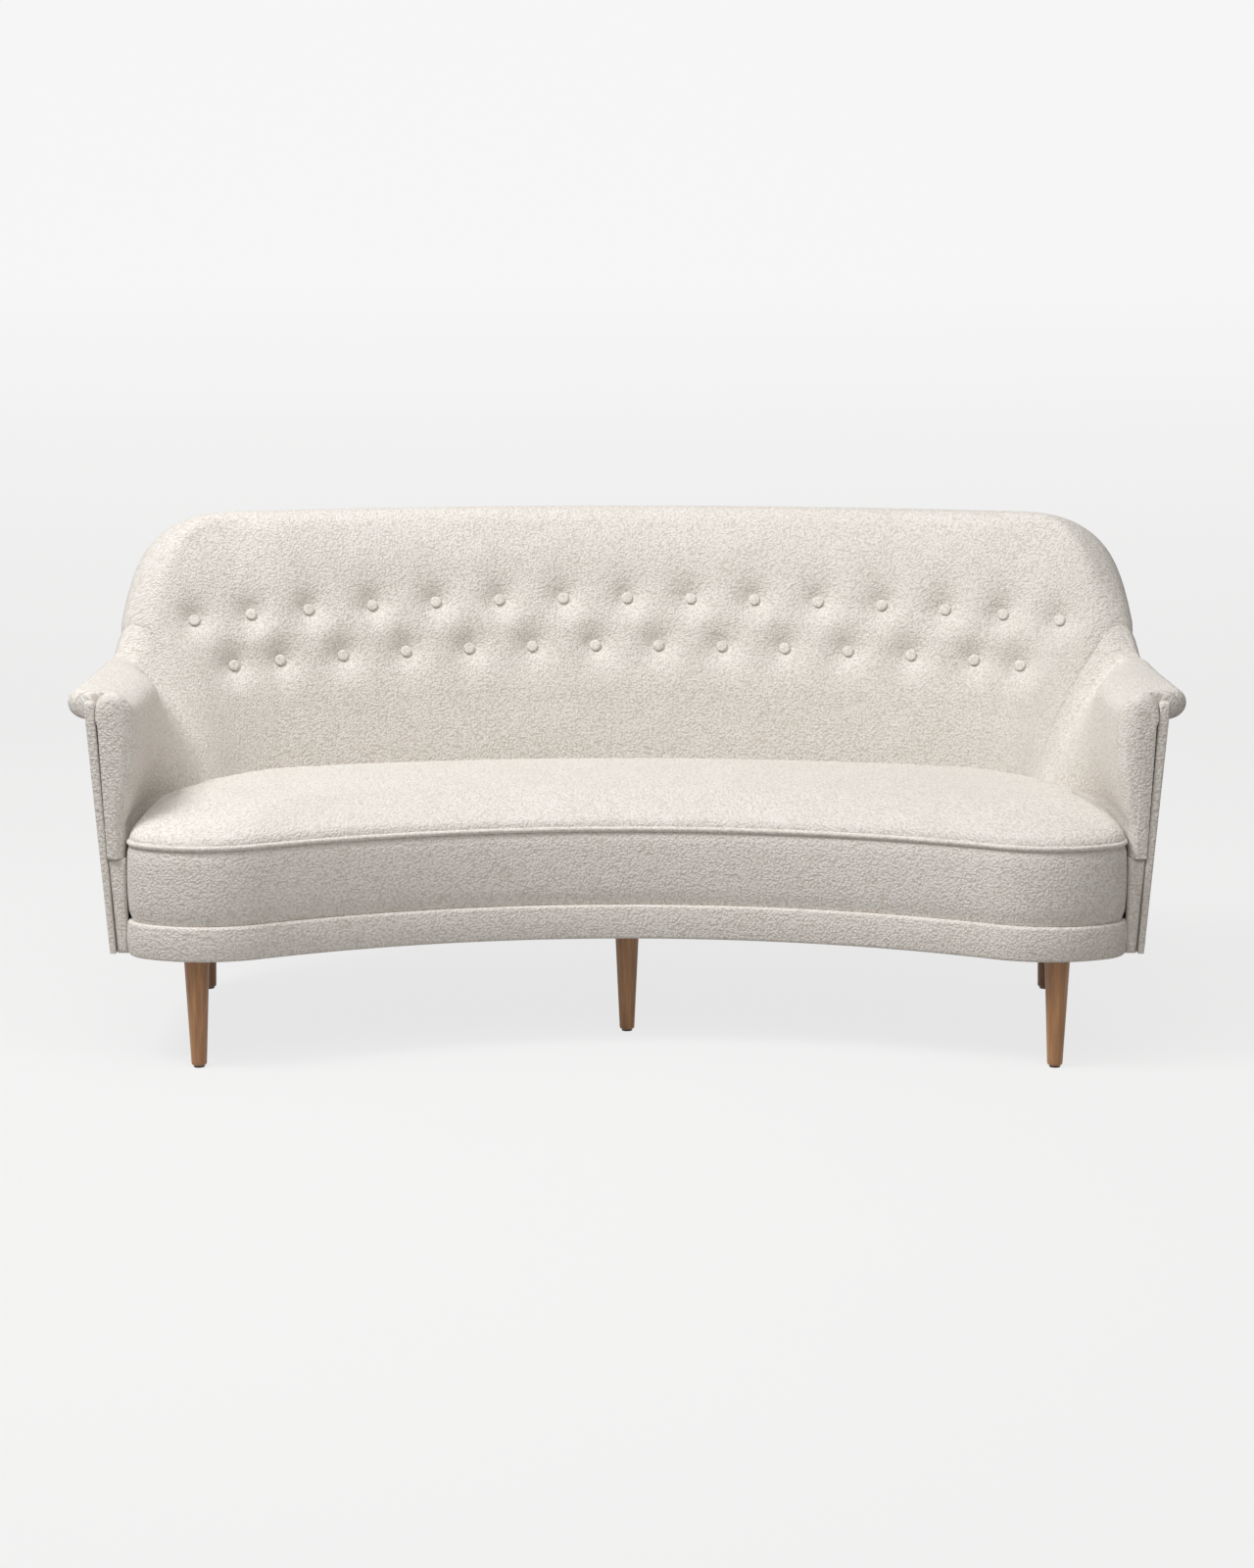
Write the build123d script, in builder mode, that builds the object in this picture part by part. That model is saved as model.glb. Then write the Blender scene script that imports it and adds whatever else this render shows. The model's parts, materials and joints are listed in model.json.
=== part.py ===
from build123d import *
import os
from collections import namedtuple
from math import asin, atan2, cos, degrees, radians, sin, sqrt, tan

# A curved sofa with a buttoned back, rolled arms and turned legs.
# Millimetres. +Z is up, the front faces -Y, and the origin is on the floor under the middle.

# Overall size
overall_width = 1830.0
overall_depth = 850.0
overall_height = 860.0

# Outside of the back and the arms, drawn in plan at the lean level
lean_level = 600.0
outside_lean = 4.3
back_radius = 2100.0
corner_radius = 290.0
panel_thickness = 12.0
panel_hem = 1.0

# Back and arm upholstery
arm_height = 618.0
ear_overhang = 35.0
ear_tuck = 11.0
back_seat_thickness = 178.0
arm_seat_thickness = 60.0
inner_corner_radius = 330.0
pad_bottom = 345.0
knee_height = 400.0
back_bead = 3.0
swoop_start = -10.0
swoop_length = 318.0
swoop_lag = 2.5
seam_angle = 19.0
wing_start = -50.0
wing_rise = 250.0
wing_end = 280.0
wing_fall = 200.0
wing_thinning = 40.0
wing_crest_share = 0.3
wing_overhang = 40.0

# Each of these is given for the back and for the arm
shoulder_reach = (100.0, 80.0)
shoulder_drop = (50.0, 45.0)
crest_reach = (45.0, -12.0)
roll_drop = (45.0, 23.0)
under_drop = (75.0, 46.0)
face_bulge = (14.0, 8.0)

# Arm front
arm_front_setback = 59.0
arm_front_pad_depth = 28.0
arm_front_rounding = 40.0
arm_front_flat = 0.6
rounding_top_share = 0.8
rounding_face_share = 0.45
front_pad_step = 8.0
ear_dome_start = 66.0
ear_dome_length = 46.0
ear_dome_middle = 44.0
roll_least = 10.0
lower_panel_depth = 12.0
panel_front_setback = 4.0
edge_strip_width = (10.0, 17.0)
edge_strip_top = 604.0
edge_strip_gap = 2.0
edge_pad_gap = 1.2
edge_pad_step = 3.5

# Sewn tufts and their buttons
tuft_pitch = 116.0
tuft_depth = 12.0
tuft_radius = 75.0
tuft_reach = 120.0
wing_tuft_reach = 62.0
tuft_step = 2.0
upper_row_height = 702.0
lower_row_height = 617.0
row_fall = 22.0
upper_row_half = 7
lower_row_half = 7
button_radius = 9.5
button_height = 7.0
button_edge = 2.5
twine_radius = 1.0
twine_hole_radius = 1.6
twine_length = 58.0

# Seat and base
floor_gap = 185.0
band_height = 58.0
band_thickness = 12.0
band_edge_round = 5.0
band_proud = 4.0
welt_height = 372.0
welt_radius = 4.0
welt_inset = 2.0
seat_crown = 48.0
front_hollow = 174.0
front_corner_inset = 130.0
front_corner_radius = 200.0
front_end_radius = 60.0
cover_thickness = 2.0
boxing_tail = 45.0
seat_top_steps = ((0.0, 0.0), (0.34, 0.067), (0.62, 0.217), (0.84, 0.517), (1.0, 1.0))
crown_draw_share = 0.72
side_draw_share = 0.5
rear_draw_share = 0.3

# Wooden frame
rail_lift = 4.0
rail_drop = 1.0
front_rail_thickness = 20.0
back_frame_thickness = 24.0
arm_frame_thickness = 18.0
cross_rail_spacing = 420.0
cross_rail_width = 28.0
centre_rail_width = 60.0
cross_rail_drop = 14.0
post_width = 60.0
arm_post_depth = 38.0
rear_post_depth = 40.0
back_rail_height = 48.0
wing_rail_height = 45.0
arm_rail_height = 50.0
middle_rail_bottom = 440.0
wing_rail_gap = 1.0
wing_rail_drop = 4.0
tenon_thickness = 8.0
tenon_shoulder = 9.0
tenon_length = 16.0
inner_post_angle = 7.8
outer_post_angle = 17.0
front_block_size = (190.0, 100.0)
rear_block_size = (84.0, 84.0)

# Legs, their bolts and glides
leg_top_radius = 21.0
leg_foot_radius = 12.5
leg_foot_chamfer = 1.5
front_leg_spread = 704.0
front_leg_setback = 45.0
centre_leg_setback = 282.0
rear_leg_spread = 760.0
rear_leg_inset = 300.0
rear_leg_rake = 35.0
glide_height = 3.0
glide_radius = 9.0
bolt_radius = 4.0
bolt_in_leg = 45.0
bolt_above_block = 3.0
nut_barrel_radius = 5.5
nut_barrel_length = 12.0
nut_flange_radius = 11.0
nut_flange_thickness = 2.0

# Springs, straps and sheets
spring_wire_radius = 1.9
spring_half_width = 10.0
spring_loop_radius = 18.0
spring_pitch = 140.0
spring_count = 8
clip_size = (26.0, 12.0, 1.5)
sheet_thickness = 1.0
hessian_inset = 44.0
strap_width = 50.0
strap_thickness = 2.0
strap_count = 9
strap_pitch = 3.8

# Clearances
fit = 0.3
wood_gap = 1.0
seat_gap = 2.0
panel_gap = 0.9

# Heights and places that follow from the sizes above
lean = tan(radians(outside_lean))
arm_half = overall_width / 2 - ear_overhang
front_edge = -overall_depth / 2
arm_front = front_edge + arm_front_setback
arm_pad_front = arm_front + arm_front_pad_depth
panel_front = arm_front + panel_front_setback
dome_front = arm_front + ear_dome_start - ear_dome_length
strip_rear = dome_front - edge_strip_gap
strip_bottom = floor_gap + panel_hem
band_top = floor_gap + band_height
rail_bottom = floor_gap + rail_lift
rail_top = band_top - rail_drop
seat_half_width = arm_half - arm_seat_thickness
back_line = overall_depth / 2 - back_bead - (overall_height - roll_drop[0] - lean_level) * lean
back_centre_y = back_line - back_radius
corner_start = degrees(asin((arm_half - corner_radius) / (back_radius - corner_radius)))
corner_x = arm_half - corner_radius
corner_y = back_centre_y + (back_radius - corner_radius) * cos(radians(corner_start))
corner_length = corner_radius * radians(90 - corner_start)
inner_back_radius = back_radius - back_seat_thickness
frame_in = panel_thickness + wood_gap
back_frame_in = frame_in + back_frame_thickness
arm_frame_in = frame_in + arm_frame_thickness
back_pad_in = back_frame_in + strap_thickness + 2 * fit + wood_gap
arm_pad_in = arm_frame_in + wood_gap
boxing_inset = band_proud
foam_inset = boxing_inset + cover_thickness + fit
back_axis = Axis((0, back_centre_y, 0), (0, 0, 1))
corner_axis = Axis((corner_x, corner_y, 0), (0, 0, 1))
sides = (("left", -1), ("right", 1))

Station = namedtuple("Station", "x y inward_x inward_y walk")
SeatPlan = namedtuple("SeatPlan", "side_x corner_x corner_y hollow_radius hollow_y end_y "
                      "rear_radius rear_corner_radius rear_x rear_y rear_angle")
Tuft = namedtuple("Tuft", "seat normal")


def outside(height):
    """How far the leaning outside lies in from its plan line at a height."""
    return (lean_level - height) * lean


def ease(value, start, length):
    """Smooth step from 0 to 1 over a length."""
    share = min(max((value - start) / length, 0.0), 1.0)
    return share * share * (3 - 2 * share)


def mix(pair, share):
    """Blend a pair of sizes, the back's and the arm's."""
    return pair[0] + (pair[1] - pair[0]) * share


def arm_share(station):
    """0 on the back, 1 on the arm, and smooth through the swoop between them."""
    share = min(max((station.walk - swoop_start) / swoop_length, 0.0), 1.0)
    return ease(share**swoop_lag, 0.0, 1.0)


def wing_share(station):
    """1 on the wing where the back turns into the arm, 0 on the back and on the arm."""
    return ease(station.walk, wing_start, wing_rise) * (1 - ease(station.walk, wing_end, wing_fall))


def strip_in(height):
    """Width of the strip down the arm's front edge at a height."""
    return mix(edge_strip_width, (height - strip_bottom) / (edge_strip_top - strip_bottom))


def back_station(angle):
    """Station on the back's arc, its angle taken from straight behind."""
    turn = radians(angle)
    walk = back_radius * (abs(turn) - radians(corner_start))
    y = back_centre_y + back_radius * cos(turn)
    return Station(back_radius * sin(turn), y, -sin(turn), -cos(turn), walk)


def corner_station(angle, side):
    """Station on the corner's arc, its angle taken from the side."""
    turn = radians(angle)
    walk = corner_radius * (radians(90 - corner_start) - turn)
    x = side * (corner_x + corner_radius * cos(turn))
    return Station(x, corner_y + corner_radius * sin(turn), -side * cos(turn), -sin(turn), walk)


def arm_station(y, side):
    """Station on the straight arm."""
    return Station(side * arm_half, y, -side, 0.0, corner_length + corner_y - y)


def section_plane(station):
    """Upright plane across the outside line, with its x pointing inwards and its y up."""
    inward = (station.inward_x, station.inward_y, 0)
    return Plane((station.x, station.y, 0), x_dir=inward, z_dir=(station.inward_y, -station.inward_x, 0))


def seat_plan(draw_in):
    """The seat outline's circles, with its front drawn in, and its sides and rear by a share of that."""
    side_x = seat_half_width - side_draw_share * draw_in
    front_x = side_x - front_corner_inset
    hollow = front_hollow * (front_x / (seat_half_width - front_corner_inset)) ** 2
    middle_y = front_edge + front_hollow + draw_in
    front_y = middle_y - hollow + front_corner_radius
    hollow_radius = front_x**2 / (2 * hollow) - front_corner_radius + hollow / 2
    reach_x = front_corner_inset - front_end_radius
    end_y = front_y - sqrt((front_corner_radius - front_end_radius) ** 2 - reach_x**2)
    rear_radius = inner_back_radius - rear_draw_share * draw_in
    rear_corner_radius = inner_corner_radius - rear_draw_share * draw_in
    rear_x = side_x - rear_corner_radius
    rear_angle = degrees(asin(rear_x / (rear_radius - rear_corner_radius)))
    rear_y = back_centre_y + (rear_radius - rear_corner_radius) * cos(radians(rear_angle))
    return SeatPlan(side_x, front_x, front_y, hollow_radius, middle_y - hollow_radius, end_y,
                    rear_radius, rear_corner_radius, rear_x, rear_y, rear_angle)


def draw_seat_front(inset, draw_in=0.0):
    """Right half of the seat's front line: hollow, corner and rounded end."""
    plan = seat_plan(draw_in)
    end_x = plan.side_x - front_end_radius
    hollow_angle = degrees(atan2(plan.corner_y - plan.hollow_y, plan.corner_x))
    end_angle = degrees(atan2(plan.end_y - plan.corner_y, end_x - plan.corner_x))
    corner_from = hollow_angle - 180
    CenterArc((0, plan.hollow_y), plan.hollow_radius + inset, hollow_angle, 90 - hollow_angle)
    corner_turn = end_angle - corner_from
    CenterArc((plan.corner_x, plan.corner_y), front_corner_radius - inset, corner_from, corner_turn)
    CenterArc((end_x, plan.end_y), front_end_radius - inset, end_angle, -end_angle)


def draw_seat_outline(inset, draw_in=0.0):
    """The whole kidney outline of the seat, set in by an inset all round."""
    plan = seat_plan(draw_in)
    draw_seat_front(inset, draw_in)
    Line((plan.side_x - inset, plan.end_y), (plan.side_x - inset, plan.rear_y))
    CenterArc((plan.rear_x, plan.rear_y), plan.rear_corner_radius - inset, 0, 90 - plan.rear_angle)
    CenterArc((0, back_centre_y), plan.rear_radius - inset, 90 - plan.rear_angle, plan.rear_angle)
    mirror(about=Plane.YZ)


def draw_outside_outline(inset, front_y):
    """Outside of back and arms, set in by an inset and closed by a line across the front."""
    Line((0, front_y), (arm_half - inset, front_y))
    Line((arm_half - inset, front_y), (arm_half - inset, corner_y))
    CenterArc((corner_x, corner_y), corner_radius - inset, 0, 90 - corner_start)
    CenterArc((0, back_centre_y), back_radius - inset, 90 - corner_start, corner_start)
    mirror(about=Plane.YZ)


def front_y_at(x, inset):
    """Where the seat's front line stands at a place across the hollow."""
    plan = seat_plan(0.0)
    return plan.hollow_y + sqrt((plan.hollow_radius + inset) ** 2 - x**2)


def back_y_at(x, inset):
    """Where the outside of the back stands at a place across, set in by an inset."""
    return back_centre_y + sqrt((back_radius - inset) ** 2 - x**2)


def ray_to_circle(x, y, step_x, step_y, centre_x, centre_y, radius):
    """Distance along a unit ray to where it first meets a circle."""
    away_x = x - centre_x
    away_y = y - centre_y
    along = away_x * step_x + away_y * step_y
    return -along - sqrt(along**2 - away_x**2 - away_y**2 + radius**2)


def inner_reach(station):
    """Distance inwards from the outside line to the inner face at seat level."""
    plan = seat_plan(0.0)
    ray = (abs(station.x), station.y, -abs(station.inward_x), station.inward_y)
    if station.y < plan.rear_y:
        return arm_seat_thickness
    if station.walk < 0:
        return back_seat_thickness
    return ray_to_circle(*ray, plan.rear_x, plan.rear_y, plan.rear_corner_radius)


def crest_height(station):
    """Top of the upholstery at a station."""
    return mix((overall_height, arm_height), arm_share(station))


def under_height(station):
    """Underside of the rolled top edge at a station."""
    return crest_height(station) - mix(under_drop, arm_share(station))


def front_rounding(y):
    """How far the arm's front edge is drawn in near its front."""
    run = max(arm_front + arm_front_rounding - y, 0.0)
    return arm_front_rounding - sqrt(arm_front_rounding**2 - run**2)


def ear_share(y):
    """1 along the arm's roll, falling to 0 over its domed front end."""
    run = max(arm_front + ear_dome_start - y, 0.0) / ear_dome_length
    return sqrt(max(1 - run**2, 0.0))


def quarter(centre, corner):
    """Middle point of the quarter curve that a corner offset from a centre is rounded by."""
    bow = sin(radians(45))
    return (centre[0] + corner[0] * bow, centre[1] + corner[1] * bow)


def shoulder_depth(station):
    """Distance inwards from the outside line to the shoulder of the upholstery."""
    return mix(shoulder_reach, arm_share(station)) - wing_thinning * wing_share(station)


def draw_pad(station, foot_in, step_in, rounding, ear):
    """Section of the upholstery: straight foot, bulging face, rolled top and the step over the panel."""
    arm = arm_share(station)
    wing = wing_share(station)
    top = crest_height(station) - rounding_top_share * rounding
    seat_t = inner_reach(station) - rounding_face_share * rounding
    shoulder_t = shoulder_depth(station) - rounding
    shoulder_z = top - mix(shoulder_drop, arm)
    crest_t = mix(crest_reach, arm * ear) - wing_crest_share * wing_thinning * wing
    roll_z = top - mix(roll_drop, arm)
    under_z = min(under_height(station), roll_z - roll_least)
    edge_t = strip_in(roll_z) + edge_pad_gap
    plain_roll_t = outside(roll_z) + mix((edge_t, -back_bead - wing_overhang * wing), ear)
    plain_under_t = outside(under_z) + mix((edge_t, back_bead), ear)
    roll_t = mix((plain_roll_t, -ear_overhang), arm * ear)
    under_t = mix((plain_under_t, -ear_tuck), arm * ear)
    foot = (outside(pad_bottom) + foot_in, pad_bottom)
    toe = (seat_t, pad_bottom)
    knee = (seat_t, knee_height)
    shoulder = (shoulder_t, shoulder_z)
    crest = (crest_t, top)
    roll = (roll_t, roll_z)
    under = (under_t, under_z)
    step = (outside(under_z) + step_in, under_z)
    middle = ((seat_t + shoulder_t) / 2 + mix(face_bulge, arm), (knee_height + shoulder_z) / 2)
    Line(foot, toe)
    Line(toe, knee)
    ThreePointArc(knee, middle, shoulder)
    ThreePointArc(shoulder, quarter((crest_t, shoulder_z), (shoulder_t - crest_t, top - shoulder_z)), crest)
    ThreePointArc(crest, quarter((crest_t, roll_z), (roll_t - crest_t, top - roll_z)), roll)
    ThreePointArc(roll, quarter((under_t, roll_z), (roll_t - under_t, under_z - roll_z)), under)
    Line(under, step)
    Line(step, foot)


def draw_bar(inner, outer, bottom, top):
    """Leaning four-sided section between two depths from the outside and two heights."""
    Polyline(
        (outside(bottom) + outer, bottom),
        (outside(bottom) + inner, bottom),
        (outside(top) + inner, top),
        (outside(top) + outer, top),
        close=True,
    )


def straight_bar(station, inner, outer, bottom, top, length):
    """Straight leaning bar, centred on a station and running along the outside line."""
    with BuildPart() as bar:
        with BuildSketch(section_plane(station)):
            with BuildLine():
                draw_bar(inner, outer, bottom, top)
            make_face()
        extrude(amount=length / 2, both=True)
    return bar.part


def arm_bar(side, depths, bottom, top, front, rear):
    """Straight leaning bar of an arm between two places along it."""
    middle = arm_station((front + rear) / 2, side)
    return straight_bar(middle, depths[1], depths[0], bottom, top, rear - front)


def swept_rail(depths, bottom, top, start, end):
    """Curved leaning rail along the back's arc between two angles."""
    with BuildPart() as rail:
        with BuildSketch(section_plane(back_station(end))):
            with BuildLine():
                draw_bar(depths[1], depths[0], bottom, top)
            make_face()
        revolve(axis=back_axis, revolution_arc=end - start)
    return rail.part


def save(part, name):
    """Label a finished piece and write it."""
    part.label = name
    export_step(part, f"parts/{name}.step")


os.makedirs("parts", exist_ok=True)

# Stations round the sofa, closer together where the plan's curve changes
back_shares = (0.0, 0.35, 0.68, 0.9, 1.0)
corner_angles = (65.0, 58.0, 51.5, 45.5, 40.0, 35.0, 30.5, 26.5, 22.7, seam_angle)
right_back = [back_station(corner_start * share) for share in back_shares]
right_back += [corner_station(angle, 1) for angle in corner_angles]
left_back = [back_station(-corner_start * share) for share in reversed(back_shares[1:])]
left_back = [corner_station(angle, -1) for angle in reversed(corner_angles)] + left_back
back_stations = left_back + right_back
swoop_end = 90 - corner_start - degrees((swoop_start + swoop_length) / corner_radius)
fall_shares = (0.0, 0.28, 0.54, 0.78, 1.0)
fall_angles = [seam_angle + (swoop_end - seam_angle) * share for share in fall_shares]
turn_angles = (swoop_end, swoop_end / 2, 0.0)
arm_straight = min(corner_y + corner_length - wing_end - wing_fall, seat_plan(0.0).rear_y)
bend_shares = (0.22, 0.48, 0.74, 1.0)
bend_places = [corner_y + (arm_straight - corner_y) * share for share in bend_shares]
dome_places = (arm_front + ear_dome_start, arm_front + ear_dome_middle, arm_pad_front + fit)
front_pad_runs = (
    (arm_pad_front, dome_front),
    (dome_front, arm_front + front_pad_step, arm_front + arm_front_flat),
)


def bend_runs(side):
    """Stations from the seam with the back to where the arm runs straight: fall, turn and bend."""
    fall = [corner_station(angle, side) for angle in fall_angles]
    turn = [corner_station(angle, side) for angle in turn_angles]
    bend = [arm_station(y, side) for y in bend_places]
    return fall, turn + bend[:1], bend


def pad_loft(stations, foot_in, step_in):
    """Upholstery through a row of stations."""
    with BuildPart() as pad:
        for station in stations:
            with BuildSketch(section_plane(station)):
                with BuildLine():
                    draw_pad(station, foot_in, step_in, front_rounding(station.y), ear_share(station.y))
                make_face()
        loft()
    return pad.part


def bar_loft(stations, depths, heights):
    """Leaning strip through a row of stations, its heights given by a function of the station."""
    with BuildPart() as strip:
        for station in stations:
            bottom, top = heights(station)
            with BuildSketch(section_plane(station)):
                with BuildLine():
                    draw_bar(depths[1], depths[0], bottom, top)
                make_face()
        loft()
    return strip.part


def panel_heights(station):
    """Lower and upper edge of the outside panels."""
    return strip_bottom, under_height(station) - panel_gap


def face_point(distance, row_height):
    """Point of the plain face at a distance along the back from its middle."""
    back_run = (back_radius - tuft_reach) * radians(corner_start)
    past = abs(distance) - back_run
    if past > 0:
        angle = 90 - corner_start - degrees(past / (corner_radius - wing_tuft_reach))
        station = corner_station(angle, 1 if distance > 0 else -1)
    else:
        station = back_station(degrees(distance / (back_radius - tuft_reach)))
    arm = arm_share(station)
    seat_t = inner_reach(station)
    shoulder_z = crest_height(station) - mix(shoulder_drop, arm)
    height = row_height - row_fall * (distance / (upper_row_half * tuft_pitch)) ** 2
    share = (height - knee_height) / (shoulder_z - knee_height)
    bulge = 4 * mix(face_bulge, arm) * share * (1 - share)
    reach = mix((seat_t, shoulder_depth(station)), share) + bulge
    return Vector(station.x + station.inward_x * reach, station.y + station.inward_y * reach, height)


def find_tuft(distance, row_height):
    """Bottom and facing of the tuft at a distance along the back from its middle."""
    face = face_point(distance, row_height)
    across = face_point(distance + tuft_step, row_height) - face
    up = face_point(distance, row_height + tuft_step) - face
    normal = across.cross(up).normalized()
    return Tuft(face - normal * tuft_depth, normal)


upper_row = [k * tuft_pitch for k in range(-upper_row_half, upper_row_half + 1)]
lower_row = [(k + 0.5) * tuft_pitch for k in range(-lower_row_half, lower_row_half)]
tufts = [find_tuft(distance, upper_row_height) for distance in upper_row]
tufts += [find_tuft(distance, lower_row_height) for distance in lower_row]
tuft_planes = [Plane(tuft.seat, z_dir=tuft.normal) for tuft in tufts]
tuft_centres = [tuft.seat + tuft.normal * tuft_radius for tuft in tufts]

# Back pad, with a shallow round tuft and a twine hole at every button
plain_back = pad_loft(back_stations, back_pad_in, back_pad_in)
with BuildPart() as back_pad:
    add(plain_back)
    with Locations(*tuft_centres):
        Sphere(tuft_radius, mode=Mode.SUBTRACT)
    with Locations(*tuft_planes):
        Cylinder(twine_hole_radius, 2 * twine_length, mode=Mode.SUBTRACT)
save(back_pad.part, "back_pad")

# Covered buttons, one seated in each tuft
button_lift = button_radius**2 / (2 * tuft_radius) + fit
button_planes = [plane.offset(button_lift) for plane in tuft_planes]
with BuildPart() as button:
    Cylinder(button_radius, button_height, align=(Align.CENTER, Align.CENTER, Align.MIN))
    fillet(button.edges().group_by(Axis.Z)[-1], button_height - button_edge)
with BuildPart() as back_buttons:
    with Locations(*button_planes):
        add(button.part)
save(back_buttons.part, "back_buttons")

# Twine from each button's underside through the pad
with BuildPart() as tuft_twines:
    with Locations(*button_planes):
        Cylinder(twine_radius, twine_length, align=(Align.CENTER, Align.CENTER, Align.MAX))
save(tuft_twines.part, "tuft_twines")

# Outside panel of the back
outside_depths = (0.0, panel_thickness)
save(bar_loft(back_stations, outside_depths, panel_heights), "outside_back_panel")

# Arm pads, arm front pads and outside arm panels
front_foot_in = strip_in(pad_bottom) + fit
front_step_in = strip_in(arm_height - under_drop[1]) + edge_pad_step
for side_name, side in sides:
    arm_bends = bend_runs(side)
    straight_run = [arm_station(y, side) for y in (arm_straight, dome_places[0])]
    dome_run = [arm_station(y, side) for y in dome_places]
    pad_runs = [
        pad_loft(run, arm_pad_in, arm_pad_in)
        for run in (*arm_bends, straight_run, dome_run)
    ]
    with BuildPart() as arm_pad:
        add(pad_runs)
    save(arm_pad.part, f"arm_pad_{side_name}")

    front_runs = []
    for places in front_pad_runs:
        run = [arm_station(y, side) for y in places]
        front_runs.append(pad_loft(run, front_foot_in, front_step_in))
    with BuildPart() as arm_front_pad:
        add(front_runs)
    save(arm_front_pad.part, f"arm_front_pad_{side_name}")

    # Outside panel of the arm, with a strip up its front edge beside the arm front
    panel_run = [arm_station(y, side) for y in (arm_straight, panel_front)]
    panel_runs = [
        bar_loft(run, outside_depths, panel_heights)
        for run in (*arm_bends, panel_run)
    ]
    with BuildPart() as outside_arm_panel:
        add(panel_runs)
        with BuildSketch(section_plane(arm_station(panel_front, side))):
            with BuildLine():
                Polyline(
                    (outside(strip_bottom), strip_bottom),
                    (outside(strip_bottom) + strip_in(strip_bottom), strip_bottom),
                    (outside(edge_strip_top) + strip_in(edge_strip_top), edge_strip_top),
                    (outside(edge_strip_top), edge_strip_top),
                    close=True,
                )
            make_face()
        extrude(amount=side * (strip_rear - panel_front))
    save(outside_arm_panel.part, f"outside_arm_panel_{side_name}")

    # Flat panel on the lower front of the arm, beside the seat
    panel_high = pad_bottom - fit
    panel_in = strip_in(panel_high) + fit
    with BuildPart() as lower_arm_panel:
        with BuildSketch(section_plane(arm_station(arm_pad_front, side))):
            with BuildLine():
                Polyline(
                    (outside(strip_bottom) + panel_in, strip_bottom),
                    (arm_seat_thickness - seat_gap, strip_bottom),
                    (arm_seat_thickness - seat_gap, panel_high),
                    (outside(panel_high) + panel_in, panel_high),
                    close=True,
                )
            make_face()
        extrude(amount=-side * lower_panel_depth)
    save(lower_arm_panel.part, f"lower_arm_panel_{side_name}")

# Seat foam under a thin crowned top cover, with a boxing strip and piping along the front
clip_width, clip_depth, clip_thickness = clip_size
spring_level = rail_top + clip_thickness + fit + spring_wire_radius
hessian_bottom = spring_level + spring_wire_radius + fit
foam_bottom = hessian_bottom + sheet_thickness + fit


crown_draw = crown_draw_share * (seat_plan(0.0).rear_y - seat_plan(0.0).end_y)


def seat_crown_loft(inset, crown):
    """Crowned top of the seat, drawn in more at the front than at the sides and rear."""
    with BuildPart() as top:
        for share, draw_step in seat_top_steps:
            with BuildSketch(Plane.XY.offset(welt_height + crown * share)):
                with BuildLine():
                    draw_seat_outline(inset, crown_draw * draw_step)
                make_face()
        loft()
    return top.part


def front_strip(outer, inner, rear_limit, bottom, top):
    """Upright strip along the seat's front between two insets, its ends cut off at a limit."""
    with BuildSketch() as front_area:
        with Locations((0, rear_limit)):
            Rectangle(overall_width, overall_depth, align=(Align.CENTER, Align.MAX))
        front_width = 2 * (seat_half_width - front_corner_inset)
        Rectangle(front_width, overall_depth, align=(Align.CENTER, Align.MAX))
    kept = front_area.sketch
    with BuildPart() as strip:
        with BuildSketch(Plane.XY.offset(bottom)):
            with BuildLine():
                draw_seat_outline(outer)
            make_face()
            with BuildLine():
                draw_seat_outline(inner)
            make_face(mode=Mode.SUBTRACT)
            add(kept, mode=Mode.INTERSECT)
        extrude(amount=top - bottom)
    return strip.part


def welt_tube(radius):
    """Round cord along the seat's front edge from arm to arm."""
    with BuildPart() as tube:
        with BuildLine(Plane.XY.offset(welt_height)) as path:
            draw_seat_front(boxing_inset + welt_inset)
            mirror(about=Plane.YZ)
        with BuildSketch(Plane(path.wire() @ 0, z_dir=path.wire() % 0)):
            Circle(radius)
        sweep(path=path.wire())
    return tube.part


cover_outer = seat_crown_loft(boxing_inset, seat_crown)
cover_inner = seat_crown_loft(boxing_inset + cover_thickness, seat_crown - cover_thickness)
foam_crown = seat_crown_loft(foam_inset, seat_crown - cover_thickness - fit)
welt_groove = welt_tube(welt_radius + fit)
with BuildPart() as seat_foam:
    with BuildSketch(Plane.XY.offset(foam_bottom)):
        with BuildLine():
            draw_seat_outline(foam_inset)
        make_face()
    extrude(amount=welt_height - foam_bottom)
    add(foam_crown)
    add(welt_groove, mode=Mode.SUBTRACT)
save(seat_foam.part, "seat_foam")

with BuildPart() as seat_top_cover:
    add(cover_outer)
    add(cover_inner, mode=Mode.SUBTRACT)
    add(welt_groove, mode=Mode.SUBTRACT)
save(seat_top_cover.part, "seat_top_cover")

seat_end = seat_plan(0.0).end_y
plain_boxing = front_strip(boxing_inset, boxing_inset + cover_thickness, seat_end + boxing_tail,
                           band_top + fit, welt_height - fit)
with BuildPart() as seat_boxing:
    add(plain_boxing)
    add(welt_groove, mode=Mode.SUBTRACT)
save(seat_boxing.part, "seat_boxing")
save(welt_tube(welt_radius), "seat_piping")

# Padded band with rounded edges along the foot of the seat's front
with BuildPart() as base_band:
    with BuildLine(Plane.XY.offset(floor_gap + band_height / 2)) as band_path:
        draw_seat_front(band_thickness / 2)
        mirror(about=Plane.YZ)
    with BuildSketch(Plane(band_path.wire() @ 0, x_dir=(0, 0, 1), z_dir=band_path.wire() % 0)):
        RectangleRounded(band_height, band_thickness, band_edge_round)
    sweep(path=band_path.wire())
save(base_band.part, "base_band")

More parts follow.
